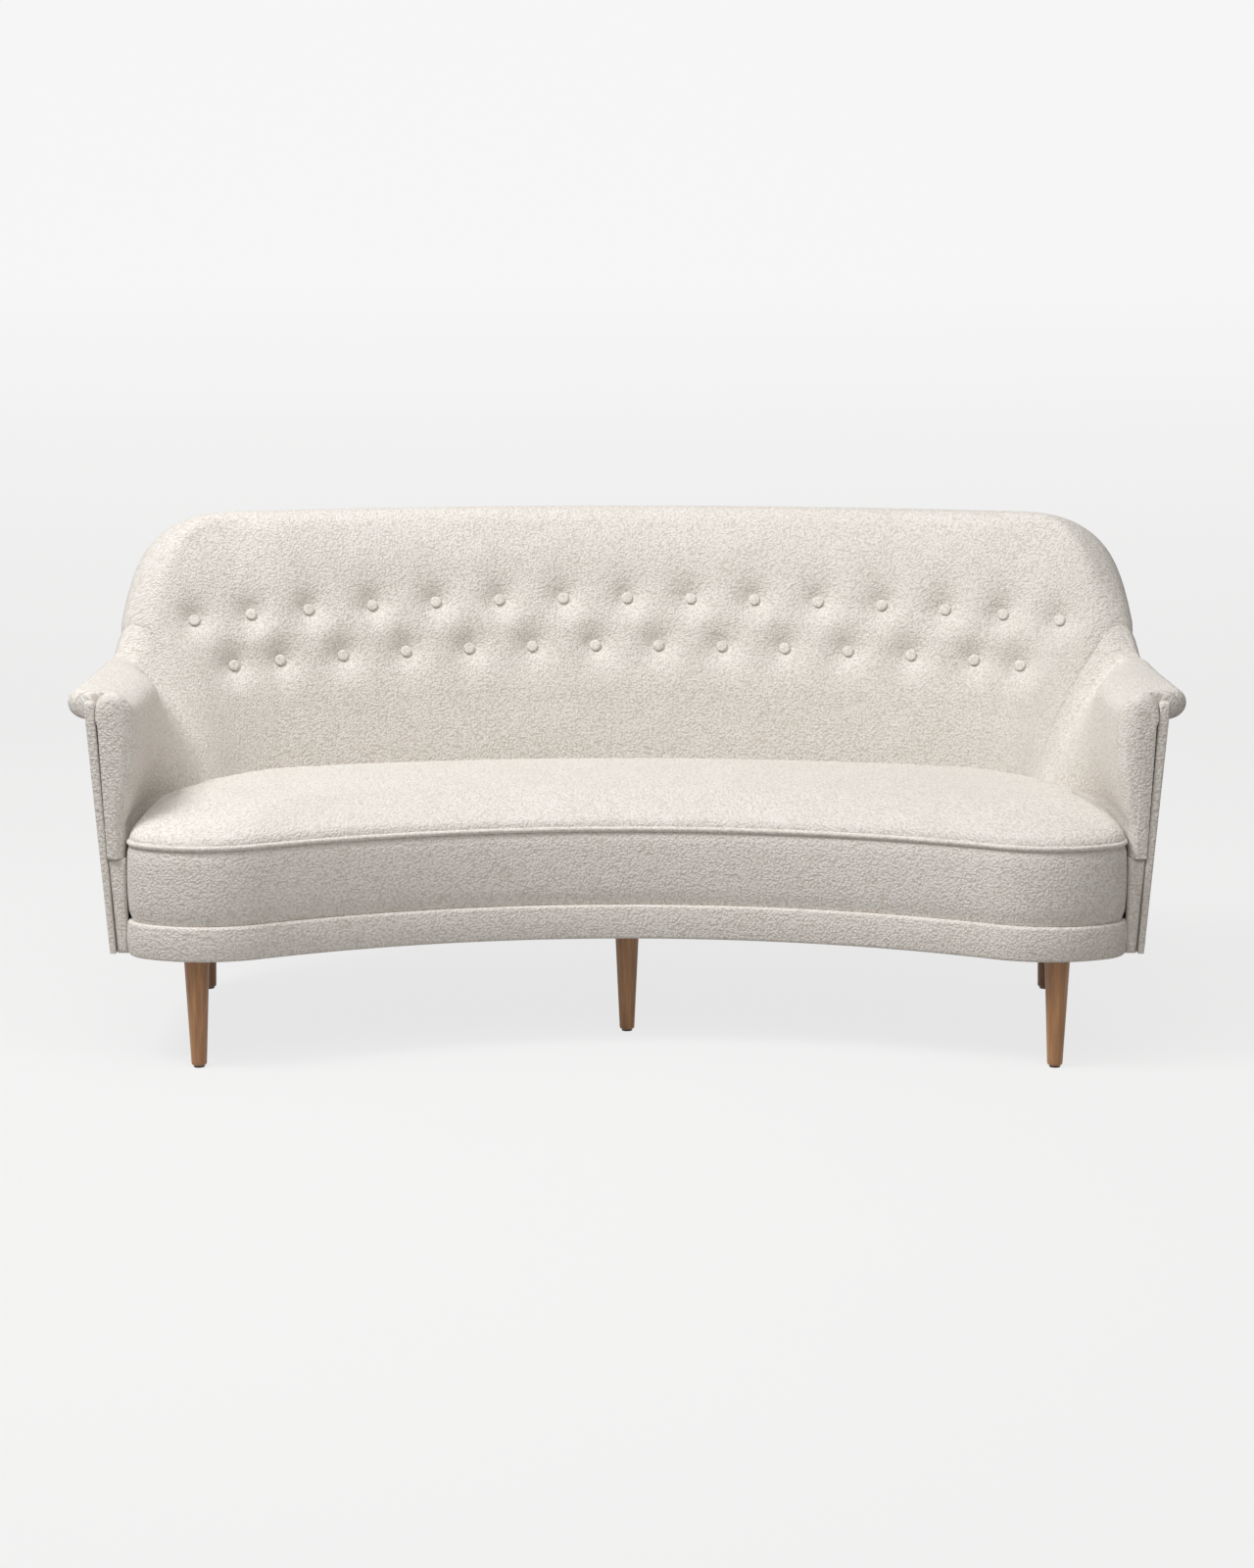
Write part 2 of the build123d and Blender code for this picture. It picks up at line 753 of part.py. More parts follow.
# Curved front rail behind the band
front_rail_outer = band_thickness + fit
front_rail_inner = front_rail_outer + front_rail_thickness
front_rail_end = seat_end - front_rail_thickness
front_rail = front_strip(front_rail_outer, front_rail_inner, front_rail_end, rail_bottom, rail_top)
save(front_rail, "front_rail")

# Sizes and places of the tongues that join the frame's pieces
tongue_out = frame_in + (arm_frame_thickness - tenon_thickness) / 2
tongue = (tongue_out, tongue_out + tenon_thickness)
slot = (tongue_out - fit, tongue_out + tenon_thickness + fit)
slot_length = tenon_length + fit
post_front = arm_pad_front + fit
post_rear = post_front + arm_post_depth
rear_post_front = corner_y - rear_post_depth
arm_rail_top = arm_height - under_drop[1] - fit
arm_rail_bottom = arm_rail_top - arm_rail_height
arm_depths = (frame_in, arm_frame_in)
back_depths = (frame_in, back_frame_in)
top_rail_top = overall_height - under_drop[0] - wood_gap
top_rail_bottom = top_rail_top - back_rail_height
post_angles = (-outer_post_angle, -inner_post_angle, inner_post_angle, outer_post_angle)
post_tongue_width = post_width - 2 * tenon_shoulder
side_tongue_heights = (rail_bottom + tenon_shoulder, rail_top - tenon_shoulder)
side_slot_heights = (side_tongue_heights[0] - fit, side_tongue_heights[1] + fit)
arm_tongue_heights = (arm_rail_bottom + tenon_shoulder, arm_rail_top - tenon_shoulder)
arm_slot_heights = (arm_tongue_heights[0] - fit, arm_tongue_heights[1] + fit)


def post_bar(angle, depths, bottom, top, width):
    """Upright piece of the back frame at an angle on the back's arc."""
    return straight_bar(back_station(angle), depths[1], depths[0], bottom, top, width)


# Rear rail, bent round the back and both corners
rail_slots = [
    arm_bar(side, slot, *side_slot_heights, corner_y - fit, corner_y + slot_length)
    for _, side in sides
]
rail_slots += [
    post_bar(angle, slot, rail_top - slot_length, rail_top + fit, post_tongue_width + 2 * fit)
    for angle in post_angles
]
with BuildPart() as rear_rail:
    with BuildSketch(section_plane(back_station(corner_start))):
        with BuildLine():
            draw_bar(back_frame_in, frame_in, rail_bottom, rail_top)
        make_face()
    revolve(axis=back_axis, revolution_arc=corner_start)
    with BuildSketch(section_plane(corner_station(0.0, 1))):
        with BuildLine():
            draw_bar(back_frame_in, frame_in, rail_bottom, rail_top)
        make_face()
    revolve(axis=corner_axis, revolution_arc=90 - corner_start)
    mirror(about=Plane.YZ)
    add(rail_slots, mode=Mode.SUBTRACT)
save(rear_rail.part, "rear_rail")

# Curved top rail of the back
plain_top_rail = swept_rail(back_depths, top_rail_bottom, top_rail_top, -corner_start, corner_start)
top_slots = [
    post_bar(angle, slot, top_rail_bottom - fit, top_rail_bottom + slot_length, post_tongue_width + 2 * fit)
    for angle in post_angles
]
with BuildPart() as back_top_rail:
    add(plain_top_rail)
    add(top_slots, mode=Mode.SUBTRACT)
save(back_top_rail.part, "back_top_rail")

# Posts between the rear rail and the top rail
for post_name, angle in zip(("outer_left", "inner_left", "inner_right", "outer_right"), post_angles):
    upright = post_bar(angle, back_depths, rail_top, top_rail_bottom, post_width)
    tongues = [
        post_bar(angle, tongue, rail_top - tenon_length, rail_top, post_tongue_width),
        post_bar(angle, tongue, top_rail_bottom, top_rail_bottom + tenon_length, post_tongue_width),
    ]
    with BuildPart() as back_post:
        add(upright)
        add(tongues)
    save(back_post.part, f"back_post_{post_name}")

# Short curved rails between the posts, at the height where the straps start
half_post = degrees((post_width / 2 + fit) / (back_radius - back_frame_in - outside(rail_top)))
middle_rail_top = middle_rail_bottom + back_rail_height
middle_rails = [
    swept_rail(back_depths, middle_rail_bottom, middle_rail_top, start + half_post, end - half_post)
    for start, end in zip(post_angles, post_angles[1:])
]
with BuildPart() as back_middle_rails:
    add(middle_rails)
save(back_middle_rails.part, "back_middle_rails")

# Upright webbing straps in front of the back frame
strap_in = back_frame_in + fit
strap_angles = [strap_pitch * (k - (strap_count - 1) / 2) for k in range(strap_count)]
straps = [
    post_bar(angle, (strap_in, strap_in + strap_thickness), middle_rail_bottom, top_rail_top, strap_width)
    for angle in strap_angles
]
with BuildPart() as back_webbing:
    add(straps)
save(back_webbing.part, "back_webbing")


def wing_heights(station):
    """Lower and upper edge of the rail that falls from the back to the arm."""
    top = under_height(station) - wing_rail_drop
    return top - wing_rail_height, top


# Arm frames: wing rail, rear post, arm rail, front post and side rail
wing_angles = (90 - corner_start - wing_rail_gap, *corner_angles, *fall_angles[1:])
wing_rail_end = degrees(fit / corner_radius)
rear_post_top = arm_height - under_drop[1] - wing_rail_drop
for side_name, side in sides:
    fall_stations = [corner_station(angle, side) for angle in wing_angles]
    turn_stations = [corner_station(angle, side) for angle in (*turn_angles[:-1], wing_rail_end)]
    wing_runs = [bar_loft(run, arm_depths, wing_heights) for run in (fall_stations, turn_stations)]
    with BuildPart() as wing_rail:
        add(wing_runs)
    save(wing_rail.part, f"wing_rail_{side_name}")

    plain_rear_post = arm_bar(side, arm_depths, rail_top, rear_post_top, rear_post_front, corner_y)
    arm_rail_slot = arm_bar(side, slot, *arm_slot_heights,
                            rear_post_front - fit, rear_post_front + slot_length)
    with BuildPart() as arm_rear_post:
        add(plain_rear_post)
        add(arm_rail_slot, mode=Mode.SUBTRACT)
    save(arm_rear_post.part, f"arm_rear_post_{side_name}")

    plain_arm_rail = arm_bar(side, arm_depths, arm_rail_bottom, arm_rail_top, post_front, rear_post_front)
    arm_rail_tongue = arm_bar(side, tongue, *arm_tongue_heights,
                              rear_post_front, rear_post_front + tenon_length)
    post_head_front = post_front + tenon_shoulder
    post_head_rear = post_rear - tenon_shoulder
    head_slot = arm_bar(side, slot, arm_rail_bottom - fit, arm_rail_bottom + slot_length,
                        post_head_front - fit, post_head_rear + fit)
    with BuildPart() as arm_rail:
        add(plain_arm_rail)
        add(arm_rail_tongue)
        add(head_slot, mode=Mode.SUBTRACT)
    save(arm_rail.part, f"arm_rail_{side_name}")

    plain_post = arm_bar(side, arm_depths, rail_bottom, arm_rail_bottom, post_front, post_rear)
    post_head = arm_bar(side, tongue, arm_rail_bottom, arm_rail_bottom + tenon_length,
                        post_head_front, post_head_rear)
    side_slot = arm_bar(side, slot, *side_slot_heights, post_rear - slot_length, post_rear + fit)
    with BuildPart() as arm_front_post:
        add(plain_post)
        add(post_head)
        add(side_slot, mode=Mode.SUBTRACT)
    save(arm_front_post.part, f"arm_front_post_{side_name}")

    plain_side_rail = arm_bar(side, arm_depths, rail_bottom, rail_top, post_rear, corner_y)
    side_tongue = arm_bar(side, tongue, *side_tongue_heights,
                          post_rear - tenon_length, corner_y + tenon_length)
    with BuildPart() as side_rail:
        add(plain_side_rail)
        add(side_tongue)
    save(side_rail.part, f"side_rail_{side_name}")

# Legs stand under four corner blocks and under the wide middle rail
rear_leg_y = overall_depth / 2 - rear_leg_inset
leg_places = {
    "front_left": (-front_leg_spread, front_edge + front_leg_setback),
    "front_centre": (0.0, front_edge + centre_leg_setback),
    "front_right": (front_leg_spread, front_edge + front_leg_setback),
    "rear_left": (-rear_leg_spread, rear_leg_y),
    "rear_right": (rear_leg_spread, rear_leg_y),
}
block_top = rail_top - cross_rail_drop


def foot_place(name):
    """Where a leg meets the floor: the rear legs rake backwards."""
    x, y = leg_places[name]
    return (x, y + rear_leg_rake) if name.startswith("rear") else (x, y)


def frame_plan(front_inset, side_inset):
    """Plan of the seat frame, set in from the seat's front and from the outside."""
    plan = seat_plan(0.0)
    with BuildSketch() as area:
        with BuildLine():
            draw_outside_outline(outside(rail_bottom) + side_inset, post_front)
        make_face()
        with Locations((0, plan.hollow_y)):
            Circle(plan.hollow_radius + front_inset, mode=Mode.SUBTRACT)
        with BuildLine():
            draw_seat_outline(front_inset)
        make_face()
    return area.sketch


def inside_frame(box_centre, box_size, side_inset):
    """Block inside the rails: a box cut off at the front rail's and the outer rails' inner faces."""
    inside_plan = frame_plan(front_rail_inner + fit, side_inset + fit)
    with BuildPart() as block:
        with BuildSketch(Plane.XY.offset(rail_bottom)):
            add(inside_plan)
            with Locations(box_centre):
                Rectangle(*box_size, mode=Mode.INTERSECT)
        extrude(amount=block_top - rail_bottom)
    return block.part


nut_barrel_bottom = block_top - nut_barrel_length
bolt_places = [(x, y, rail_bottom) for x, y in leg_places.values()]
nut_places = [(x, y, nut_barrel_bottom) for x, y in leg_places.values()]
upwards = (Align.CENTER, Align.CENTER, Align.MIN)
front_block_x = seat_half_width - front_block_size[0] / 2
front_block_y = front_edge + front_leg_setback
plain_blocks = []
for _, side in sides:
    front_place = (side * front_block_x, front_block_y)
    rear_place = (side * rear_leg_spread, rear_leg_y)
    plain_blocks.append(inside_frame(front_place, front_block_size, arm_frame_in))
    plain_blocks.append(inside_frame(rear_place, rear_block_size, back_frame_in))
with BuildPart() as leg_blocks:
    add(plain_blocks)
    with Locations(*bolt_places):
        Cylinder(bolt_radius + fit, block_top - rail_bottom, align=upwards, mode=Mode.SUBTRACT)
    with Locations(*nut_places):
        Cylinder(nut_barrel_radius + fit, nut_barrel_length, align=upwards, mode=Mode.SUBTRACT)
save(leg_blocks.part, "leg_blocks")

# Rails from front to back: a wide one in the middle and one on each side
for rail_name, rail_x, rail_width in (
    ("left", -cross_rail_spacing, cross_rail_width),
    ("centre", 0.0, centre_rail_width),
    ("right", cross_rail_spacing, cross_rail_width),
):
    plain_cross_rail = inside_frame((rail_x, 0), (rail_width, overall_depth), back_frame_in)
    with BuildPart() as cross_rail:
        add(plain_cross_rail)
        with Locations(*bolt_places):
            Cylinder(bolt_radius + fit, block_top - rail_bottom, align=upwards, mode=Mode.SUBTRACT)
        with Locations(*nut_places):
            Cylinder(nut_barrel_radius + fit, nut_barrel_length, align=upwards, mode=Mode.SUBTRACT)
    save(cross_rail.part, f"cross_rail_{rail_name}")

# Turned legs with a straight taper
bolt_foot = rail_bottom - bolt_in_leg
for leg_name, leg_place in leg_places.items():
    with BuildPart() as leg:
        with BuildSketch(Plane.XY.offset(glide_height)):
            with Locations(foot_place(leg_name)):
                Circle(leg_foot_radius)
        with BuildSketch(Plane.XY.offset(rail_bottom)):
            with Locations(leg_place):
                Circle(leg_top_radius)
        loft()
        chamfer(leg.edges().group_by(Axis.Z)[0], leg_foot_chamfer)
        with Locations((*leg_place, bolt_foot)):
            Cylinder(bolt_radius + fit, bolt_in_leg, align=upwards, mode=Mode.SUBTRACT)
    save(leg.part, f"leg_{leg_name}")

# Glides under the feet, hanger bolts in the legs and tee nuts in the blocks
with BuildPart() as foot_glides:
    with Locations(*[(*foot_place(name), 0.0) for name in leg_places]):
        Cylinder(glide_radius, glide_height, align=upwards)
save(foot_glides.part, "foot_glides")

bolt_length = block_top + nut_flange_thickness + bolt_above_block - bolt_foot
with BuildPart() as leg_bolts:
    with Locations(*[(x, y, bolt_foot) for x, y in leg_places.values()]):
        Cylinder(bolt_radius, bolt_length, align=upwards)
save(leg_bolts.part, "leg_bolts")

with BuildPart() as tee_nuts:
    with Locations(*nut_places):
        Cylinder(nut_barrel_radius, nut_barrel_length, align=upwards)
    with Locations(*[(x, y, block_top) for x, y in leg_places.values()]):
        Cylinder(nut_flange_radius, nut_flange_thickness, align=upwards)
    with Locations(*nut_places):
        Cylinder(bolt_radius + fit, 2 * nut_barrel_length, align=upwards, mode=Mode.SUBTRACT)
save(tee_nuts.part, "tee_nuts")


def zigzag_spring(x):
    """Flat zigzag wire from the front rail to the rear rail."""
    start = front_y_at(x, (front_rail_outer + front_rail_inner) / 2)
    end = back_y_at(x, outside(rail_top) + (frame_in + back_frame_in) / 2)
    loops = 2 * round((end - start) / (4 * spring_loop_radius))
    loop_radius = (end - start) / (2 * loops)
    with BuildPart() as spring:
        with BuildLine(Plane.XY.offset(spring_level)) as path:
            for k in range(loops):
                y = start + 2 * loop_radius * k
                reach = spring_half_width if k % 2 == 0 else -spring_half_width
                bow = loop_radius if k % 2 == 0 else -loop_radius
                Line((x - reach, y), (x + reach, y))
                ThreePointArc(
                    (x + reach, y),
                    (x + reach + bow, y + loop_radius),
                    (x + reach, y + 2 * loop_radius),
                )
            Line((x - spring_half_width, end), (x + spring_half_width, end))
        with BuildSketch(Plane(path.wire() @ 0, z_dir=path.wire() % 0)):
            Circle(spring_wire_radius)
        sweep(path=path.wire())
    return spring.part


# Zigzag springs and the clips that hold their ends on the rails
spring_places = [spring_pitch * (k - (spring_count - 1) / 2) for k in range(spring_count)]
springs = [zigzag_spring(x) for x in spring_places]
with BuildPart() as seat_springs:
    add(springs)
save(seat_springs.part, "seat_springs")

lip_reach = spring_wire_radius + fit + clip_thickness
with BuildPart() as spring_clips:
    for x in spring_places:
        front_end = front_y_at(x, (front_rail_outer + front_rail_inner) / 2)
        rear_end = back_y_at(x, outside(rail_top) + (frame_in + back_frame_in) / 2)
        for y, outwards in ((front_end, -1), (rear_end, 1)):
            with Locations((x, y, rail_top)):
                Box(clip_width, clip_depth, clip_thickness, align=upwards)
            with Locations((x, y + outwards * (lip_reach - clip_thickness / 2), rail_top)):
                Box(clip_width, clip_thickness, clip_thickness + 2 * spring_wire_radius, align=upwards)
save(spring_clips.part, "spring_clips")

# Hessian sheet over the springs, and a dust cover under the frame
with BuildPart() as hessian_sheet:
    with BuildSketch(Plane.XY.offset(hessian_bottom)):
        with BuildLine():
            draw_seat_outline(hessian_inset)
        make_face()
    extrude(amount=sheet_thickness)
save(hessian_sheet.part, "hessian_sheet")

cover_plan = frame_plan(front_rail_outer, frame_in)
with BuildPart() as dust_cover:
    with BuildSketch(Plane.XY.offset(rail_bottom - fit - sheet_thickness)):
        add(cover_plan)
        with Locations(*leg_places.values()):
            Circle(leg_top_radius + seat_gap, mode=Mode.SUBTRACT)
    extrude(amount=sheet_thickness)
save(dust_cover.part, "dust_cover")
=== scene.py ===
"""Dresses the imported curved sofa: woven cover, buttons, piping, turned legs and a pale studio."""
import json
from collections import namedtuple
from math import asin, atan2, cos, exp, pi, radians, sin, sqrt, tan

import bmesh
import bpy
import numpy as np
from bpy.props import FloatProperty, FloatVectorProperty, IntProperty, PointerProperty
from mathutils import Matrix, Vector


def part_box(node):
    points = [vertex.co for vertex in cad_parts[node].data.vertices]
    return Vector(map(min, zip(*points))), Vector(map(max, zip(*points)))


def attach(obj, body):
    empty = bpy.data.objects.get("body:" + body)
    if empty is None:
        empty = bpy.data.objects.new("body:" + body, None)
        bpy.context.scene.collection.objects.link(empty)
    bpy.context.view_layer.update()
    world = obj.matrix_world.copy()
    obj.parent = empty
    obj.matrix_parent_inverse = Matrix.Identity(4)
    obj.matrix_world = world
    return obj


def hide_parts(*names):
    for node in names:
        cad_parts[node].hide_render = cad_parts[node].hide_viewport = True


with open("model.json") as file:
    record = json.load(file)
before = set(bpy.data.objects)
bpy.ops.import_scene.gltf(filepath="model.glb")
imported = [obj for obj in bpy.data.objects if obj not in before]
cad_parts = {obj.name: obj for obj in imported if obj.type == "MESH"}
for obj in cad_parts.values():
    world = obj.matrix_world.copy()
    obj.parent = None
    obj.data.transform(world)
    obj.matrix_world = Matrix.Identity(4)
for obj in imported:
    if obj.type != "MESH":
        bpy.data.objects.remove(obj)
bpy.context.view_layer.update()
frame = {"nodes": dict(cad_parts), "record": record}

bl_info = {
    "name": "Curved sofa cover",
    "version": (1, 0, 0),
    "blender": (4, 5, 0),
    "location": "View3D > Sidebar > Sofa",
    "description": "Cover cloth, buttons, piping, legs and studio for the packed curved sofa",
    "category": "Object",
}

NODES = frame["nodes"]
SIDES = (("left", -1), ("right", 1))

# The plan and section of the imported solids, in metres
ARM_HALF = 0.880
DEPTH = 0.850
HEIGHT = 0.860
ARM_HEIGHT = 0.618
LEAN_LEVEL = 0.600
LEAN = tan(radians(4.3))
BACK_RADIUS = 2.100
CORNER_RADIUS = 0.290
PANEL = 0.012
BEAD = 0.003
ROLL_DROP = (0.045, 0.023)
BACK_LINE = DEPTH / 2 - BEAD - (HEIGHT - ROLL_DROP[0] - LEAN_LEVEL) * LEAN
BACK_Y = BACK_LINE - BACK_RADIUS
CORNER_X = ARM_HALF - CORNER_RADIUS
CORNER_START = asin(CORNER_X / (BACK_RADIUS - CORNER_RADIUS))
CORNER_Y = BACK_Y + (BACK_RADIUS - CORNER_RADIUS) * cos(CORNER_START)
CORNER_LENGTH = CORNER_RADIUS * (pi / 2 - CORNER_START)
SEAM = radians(19.0)
FRONT = -DEPTH / 2
ARM_FRONT = FRONT + 0.059
PAD_FRONT = ARM_FRONT + 0.028
STRIP_FRONT = ARM_FRONT + 0.003
STRIP_REAR = ARM_FRONT + 0.018
PAD_BOTTOM = 0.345
KNEE = 0.400
BACK_THICKNESS = 0.178
ARM_THICKNESS = 0.060
BACK_PAD_IN = 0.0406
ARM_PAD_IN = 0.032
EAR_OVERHANG = 0.035
EAR_TUCK = 0.011
SHOULDER_REACH = (0.100, 0.080)
SHOULDER_DROP = (0.050, 0.045)
CREST_REACH = (0.045, -0.012)
UNDER_DROP = (0.075, 0.046)
SWOOP_START = -0.010
SWOOP_LENGTH = 0.318
SWOOP_LAG = 2.5
WING_THIN = 0.040
WING_OVERHANG = 0.040
STRIP = (0.010, 0.017)
STRIP_TOP = 0.604
STRIP_HEAD = 0.008
FACE_BULGE = (0.014, 0.008)
WING_RISE = (-0.050, 0.250)
WING_FALL = (0.280, 0.200)
WING_CREST_SHARE = 0.3
ROUNDING = 0.030
ROUNDING_TOP_SHARE = 0.6
ROUNDING_SEAT_SHARE = 0.45
ROLL_LEAST = 0.010
EDGE_GAP = 0.0012
EDGE_RING = 0.0035
EAR_START = 0.066
EAR_LENGTH = 0.046
SHARP_EDGE = radians(55)
FLOOR_GAP = 0.185
BAND_TOP = 0.243
WELT_HEIGHT = 0.372
SEAT_HALF = ARM_HALF - ARM_THICKNESS
SEAT_HOLLOW = 0.174
SEAT_FRONT_IN = 0.130
SEAT_FRONT_RADIUS = 0.200
SEAT_END_RADIUS = 0.060
SEAT_REAR_CORNER = 0.330
SEAT_INSET = 0.006
SIDE_DRAW = 0.5
REAR_DRAW = 0.3
CROWN_DRAW = 0.120
CROWN_STEP = 0.0012
TUFT_ROWS = ((0.702, np.arange(-7, 8)), (0.617, np.arange(-7, 7) + 0.5))
TUFT_ARCH = 0.022
TUFT_STEP = 0.004
FACE_REACH = 0.120
WING_FACE_REACH = 0.062
RAIL_BOTTOM = 0.189
GLIDE = 0.003
LEGS = {
    "leg_front_left": ((-0.704, -0.380), (-0.704, -0.380)),
    "leg_front_centre": ((0.0, -0.143), (0.0, -0.143)),
    "leg_front_right": ((0.704, -0.380), (0.704, -0.380)),
    "leg_rear_left": ((-0.760, 0.125), (-0.760, 0.160)),
    "leg_rear_right": ((0.760, 0.125), (0.760, 0.160)),
}

Station = namedtuple("Station", "x y inward_x inward_y walk")
SeatPlan = namedtuple("SeatPlan", "side_x front_x front_y hollow_radius hollow_y end_y "
                      "rear_radius rear_corner rear_x rear_y rear_angle")


class SofaShape(bpy.types.PropertyGroup):
    """Sizes of the soft forms that a user may change."""
    tuft_depth: FloatProperty(name="Tuft depth", description="How deep a button pulls the cloth in",
                              default=0.018, min=0.0, max=0.03, unit="LENGTH")
    tuft_reach: FloatProperty(name="Tuft reach", description="How far round a button the cloth dips",
                              default=0.060, min=0.02, max=0.08, unit="LENGTH")
    tuft_pitch: FloatProperty(name="Tuft spacing", description="Distance between neighbouring buttons",
                              default=0.116, unit="LENGTH")
    button_radius: FloatProperty(name="Button radius", description="Radius of a covered button",
                                 default=0.0096, unit="LENGTH")
    piping_radius: FloatProperty(name="Piping radius", description="Radius of the cord on the seat's edge",
                                 default=0.0042, unit="LENGTH")
    seat_crown: FloatProperty(name="Seat crown", description="Height of the seat's crown over its piping",
                              default=0.048, unit="LENGTH")
    seam_depth: FloatProperty(name="Seam depth", description="How deep a sewn seam lies",
                              default=0.005, unit="LENGTH")
    leg_top_radius: FloatProperty(name="Leg top radius", description="Radius of a leg at its top",
                                  default=0.021, unit="LENGTH")
    leg_foot_radius: FloatProperty(name="Leg foot radius", description="Radius of a leg at its foot",
                                   default=0.0125, unit="LENGTH")
    puff_frames: IntProperty(name="Puff frames", description="Steps of the cloth simulation", default=14)
    puff_limit: FloatProperty(name="Puff limit", description="Farthest that the cloth may move as it settles",
                              default=0.010, unit="LENGTH")


class SofaFinish(bpy.types.PropertyGroup):
    """Colours that a user may change."""
    cloth_light: FloatVectorProperty(name="Cloth", description="Colour of the cloth's raised threads",
                                     subtype="COLOR", size=3, default=(0.84, 0.805, 0.76))
    # Painted shade: the darker colour given to the hollows between the threads, where less light would fall
    cloth_hollow_shade: FloatVectorProperty(name="Cloth hollows", description="Colour between the cloth's threads",
                                    subtype="COLOR", size=3, default=(0.67, 0.617, 0.556))
    leg_light: FloatVectorProperty(name="Leg wood", description="Light grain of the legs",
                                   subtype="COLOR", size=3, default=(0.53, 0.275, 0.125))
    leg_dark: FloatVectorProperty(name="Leg wood, dark", description="Dark grain of the legs",
                                  subtype="COLOR", size=3, default=(0.255, 0.115, 0.05))
    floor: FloatVectorProperty(name="Floor", description="Colour of the floor and backdrop",
                               subtype="COLOR", size=3, default=(0.48, 0.47, 0.46))


def ease(value, start, length):
    """Smooth step from 0 to 1."""
    share = min(max((value - start) / length, 0.0), 1.0)
    return share * share * (3 - 2 * share)


def mix(pair, share):
    """Blend of the back's and the arm's size."""
    return pair[0] + (pair[1] - pair[0]) * share


def outside(z):
    """How far the leaning outside lies in at a height."""
    return (LEAN_LEVEL - z) * LEAN


def arm_share(station):
    """0 on the back and 1 on the arm."""
    share = min(max((station.walk - SWOOP_START) / SWOOP_LENGTH, 0.0), 1.0)
    return ease(share**SWOOP_LAG, 0.0, 1.0)


def wing_share(station):
    """1 on the wing where the back turns into the arm, 0 on the back and on the arm."""
    return ease(station.walk, *WING_RISE) * (1 - ease(station.walk, *WING_FALL))


def strip_in(z):
    """Width of the strip down the arm's front edge at a height."""
    return mix(STRIP, (z - FLOOR_GAP) / (STRIP_TOP - FLOOR_GAP))


def back_station(turn):
    """Station on the back's arc."""
    walk = BACK_RADIUS * (abs(turn) - CORNER_START)
    return Station(BACK_RADIUS * sin(turn), BACK_Y + BACK_RADIUS * cos(turn), -sin(turn), -cos(turn), walk)


def corner_station(turn, side):
    """Station on the corner's arc."""
    x = side * (CORNER_X + CORNER_RADIUS * cos(turn))
    walk = CORNER_RADIUS * (pi / 2 - CORNER_START - turn)
    return Station(x, CORNER_Y + CORNER_RADIUS * sin(turn), -side * cos(turn), -sin(turn), walk)


def arm_station(y, side):
    """Station on the straight arm."""
    return Station(side * ARM_HALF, y, -side, 0.0, CORNER_LENGTH + CORNER_Y - y)


def seat_plan(draw):
    """Circles of the seat's outline, drawn in by an amount at the front."""
    side_x = SEAT_HALF - SIDE_DRAW * draw
    front_x = side_x - SEAT_FRONT_IN
    hollow = SEAT_HOLLOW * (front_x / (SEAT_HALF - SEAT_FRONT_IN)) ** 2
    middle_y = FRONT + SEAT_HOLLOW + draw
    front_y = middle_y - hollow + SEAT_FRONT_RADIUS
    hollow_radius = front_x**2 / (2 * hollow) - SEAT_FRONT_RADIUS + hollow / 2
    reach, across = SEAT_FRONT_RADIUS - SEAT_END_RADIUS, SEAT_FRONT_IN - SEAT_END_RADIUS
    end_y = front_y - sqrt(reach**2 - across**2)
    rear_radius = BACK_RADIUS - BACK_THICKNESS - REAR_DRAW * draw
    rear_corner = SEAT_REAR_CORNER - REAR_DRAW * draw
    rear_x = side_x - rear_corner
    rear_angle = asin(rear_x / (rear_radius - rear_corner))
    rear_y = BACK_Y + (rear_radius - rear_corner) * cos(rear_angle)
    return SeatPlan(side_x, front_x, front_y, hollow_radius, middle_y - hollow_radius, end_y,
                    rear_radius, rear_corner, rear_x, rear_y, rear_angle)


def arc_points(centre, radius, start, turn, count):
    """Points along an arc, its first one included and its last one left out."""
    angles = start + turn * np.arange(count) / count
    return np.stack([centre[0] + radius * np.cos(angles), centre[1] + radius * np.sin(angles)], 1)


def seat_front(inset, draw=0.0, counts=(84, 36, 20)):
    """Right half of the seat's front line, from the middle to the side."""
    plan = seat_plan(draw)
    end_x = plan.side_x - SEAT_END_RADIUS
    hollow_angle = atan2(plan.front_y - plan.hollow_y, plan.front_x)
    end_angle = atan2(plan.end_y - plan.front_y, end_x - plan.front_x)
    start = hollow_angle - pi
    turn = end_angle - start
    return np.concatenate([
        arc_points((0, plan.hollow_y), plan.hollow_radius + inset, pi / 2, hollow_angle - pi / 2, counts[0]),
        arc_points((plan.front_x, plan.front_y), SEAT_FRONT_RADIUS - inset, start, turn, counts[1]),
        arc_points((end_x, plan.end_y), SEAT_END_RADIUS - inset, end_angle, -end_angle, counts[2]),
    ])


def whole_front(inset, tails=(0.0,)):
    """The seat's whole front line from side to side, with points a little way up each side."""
    plan = seat_plan(0.0)
    ends = [(plan.side_x - inset, plan.end_y + tail) for tail in tails]
    right = np.concatenate([seat_front(inset), ends])
    return np.concatenate([right[:0:-1] * (-1, 1), right])


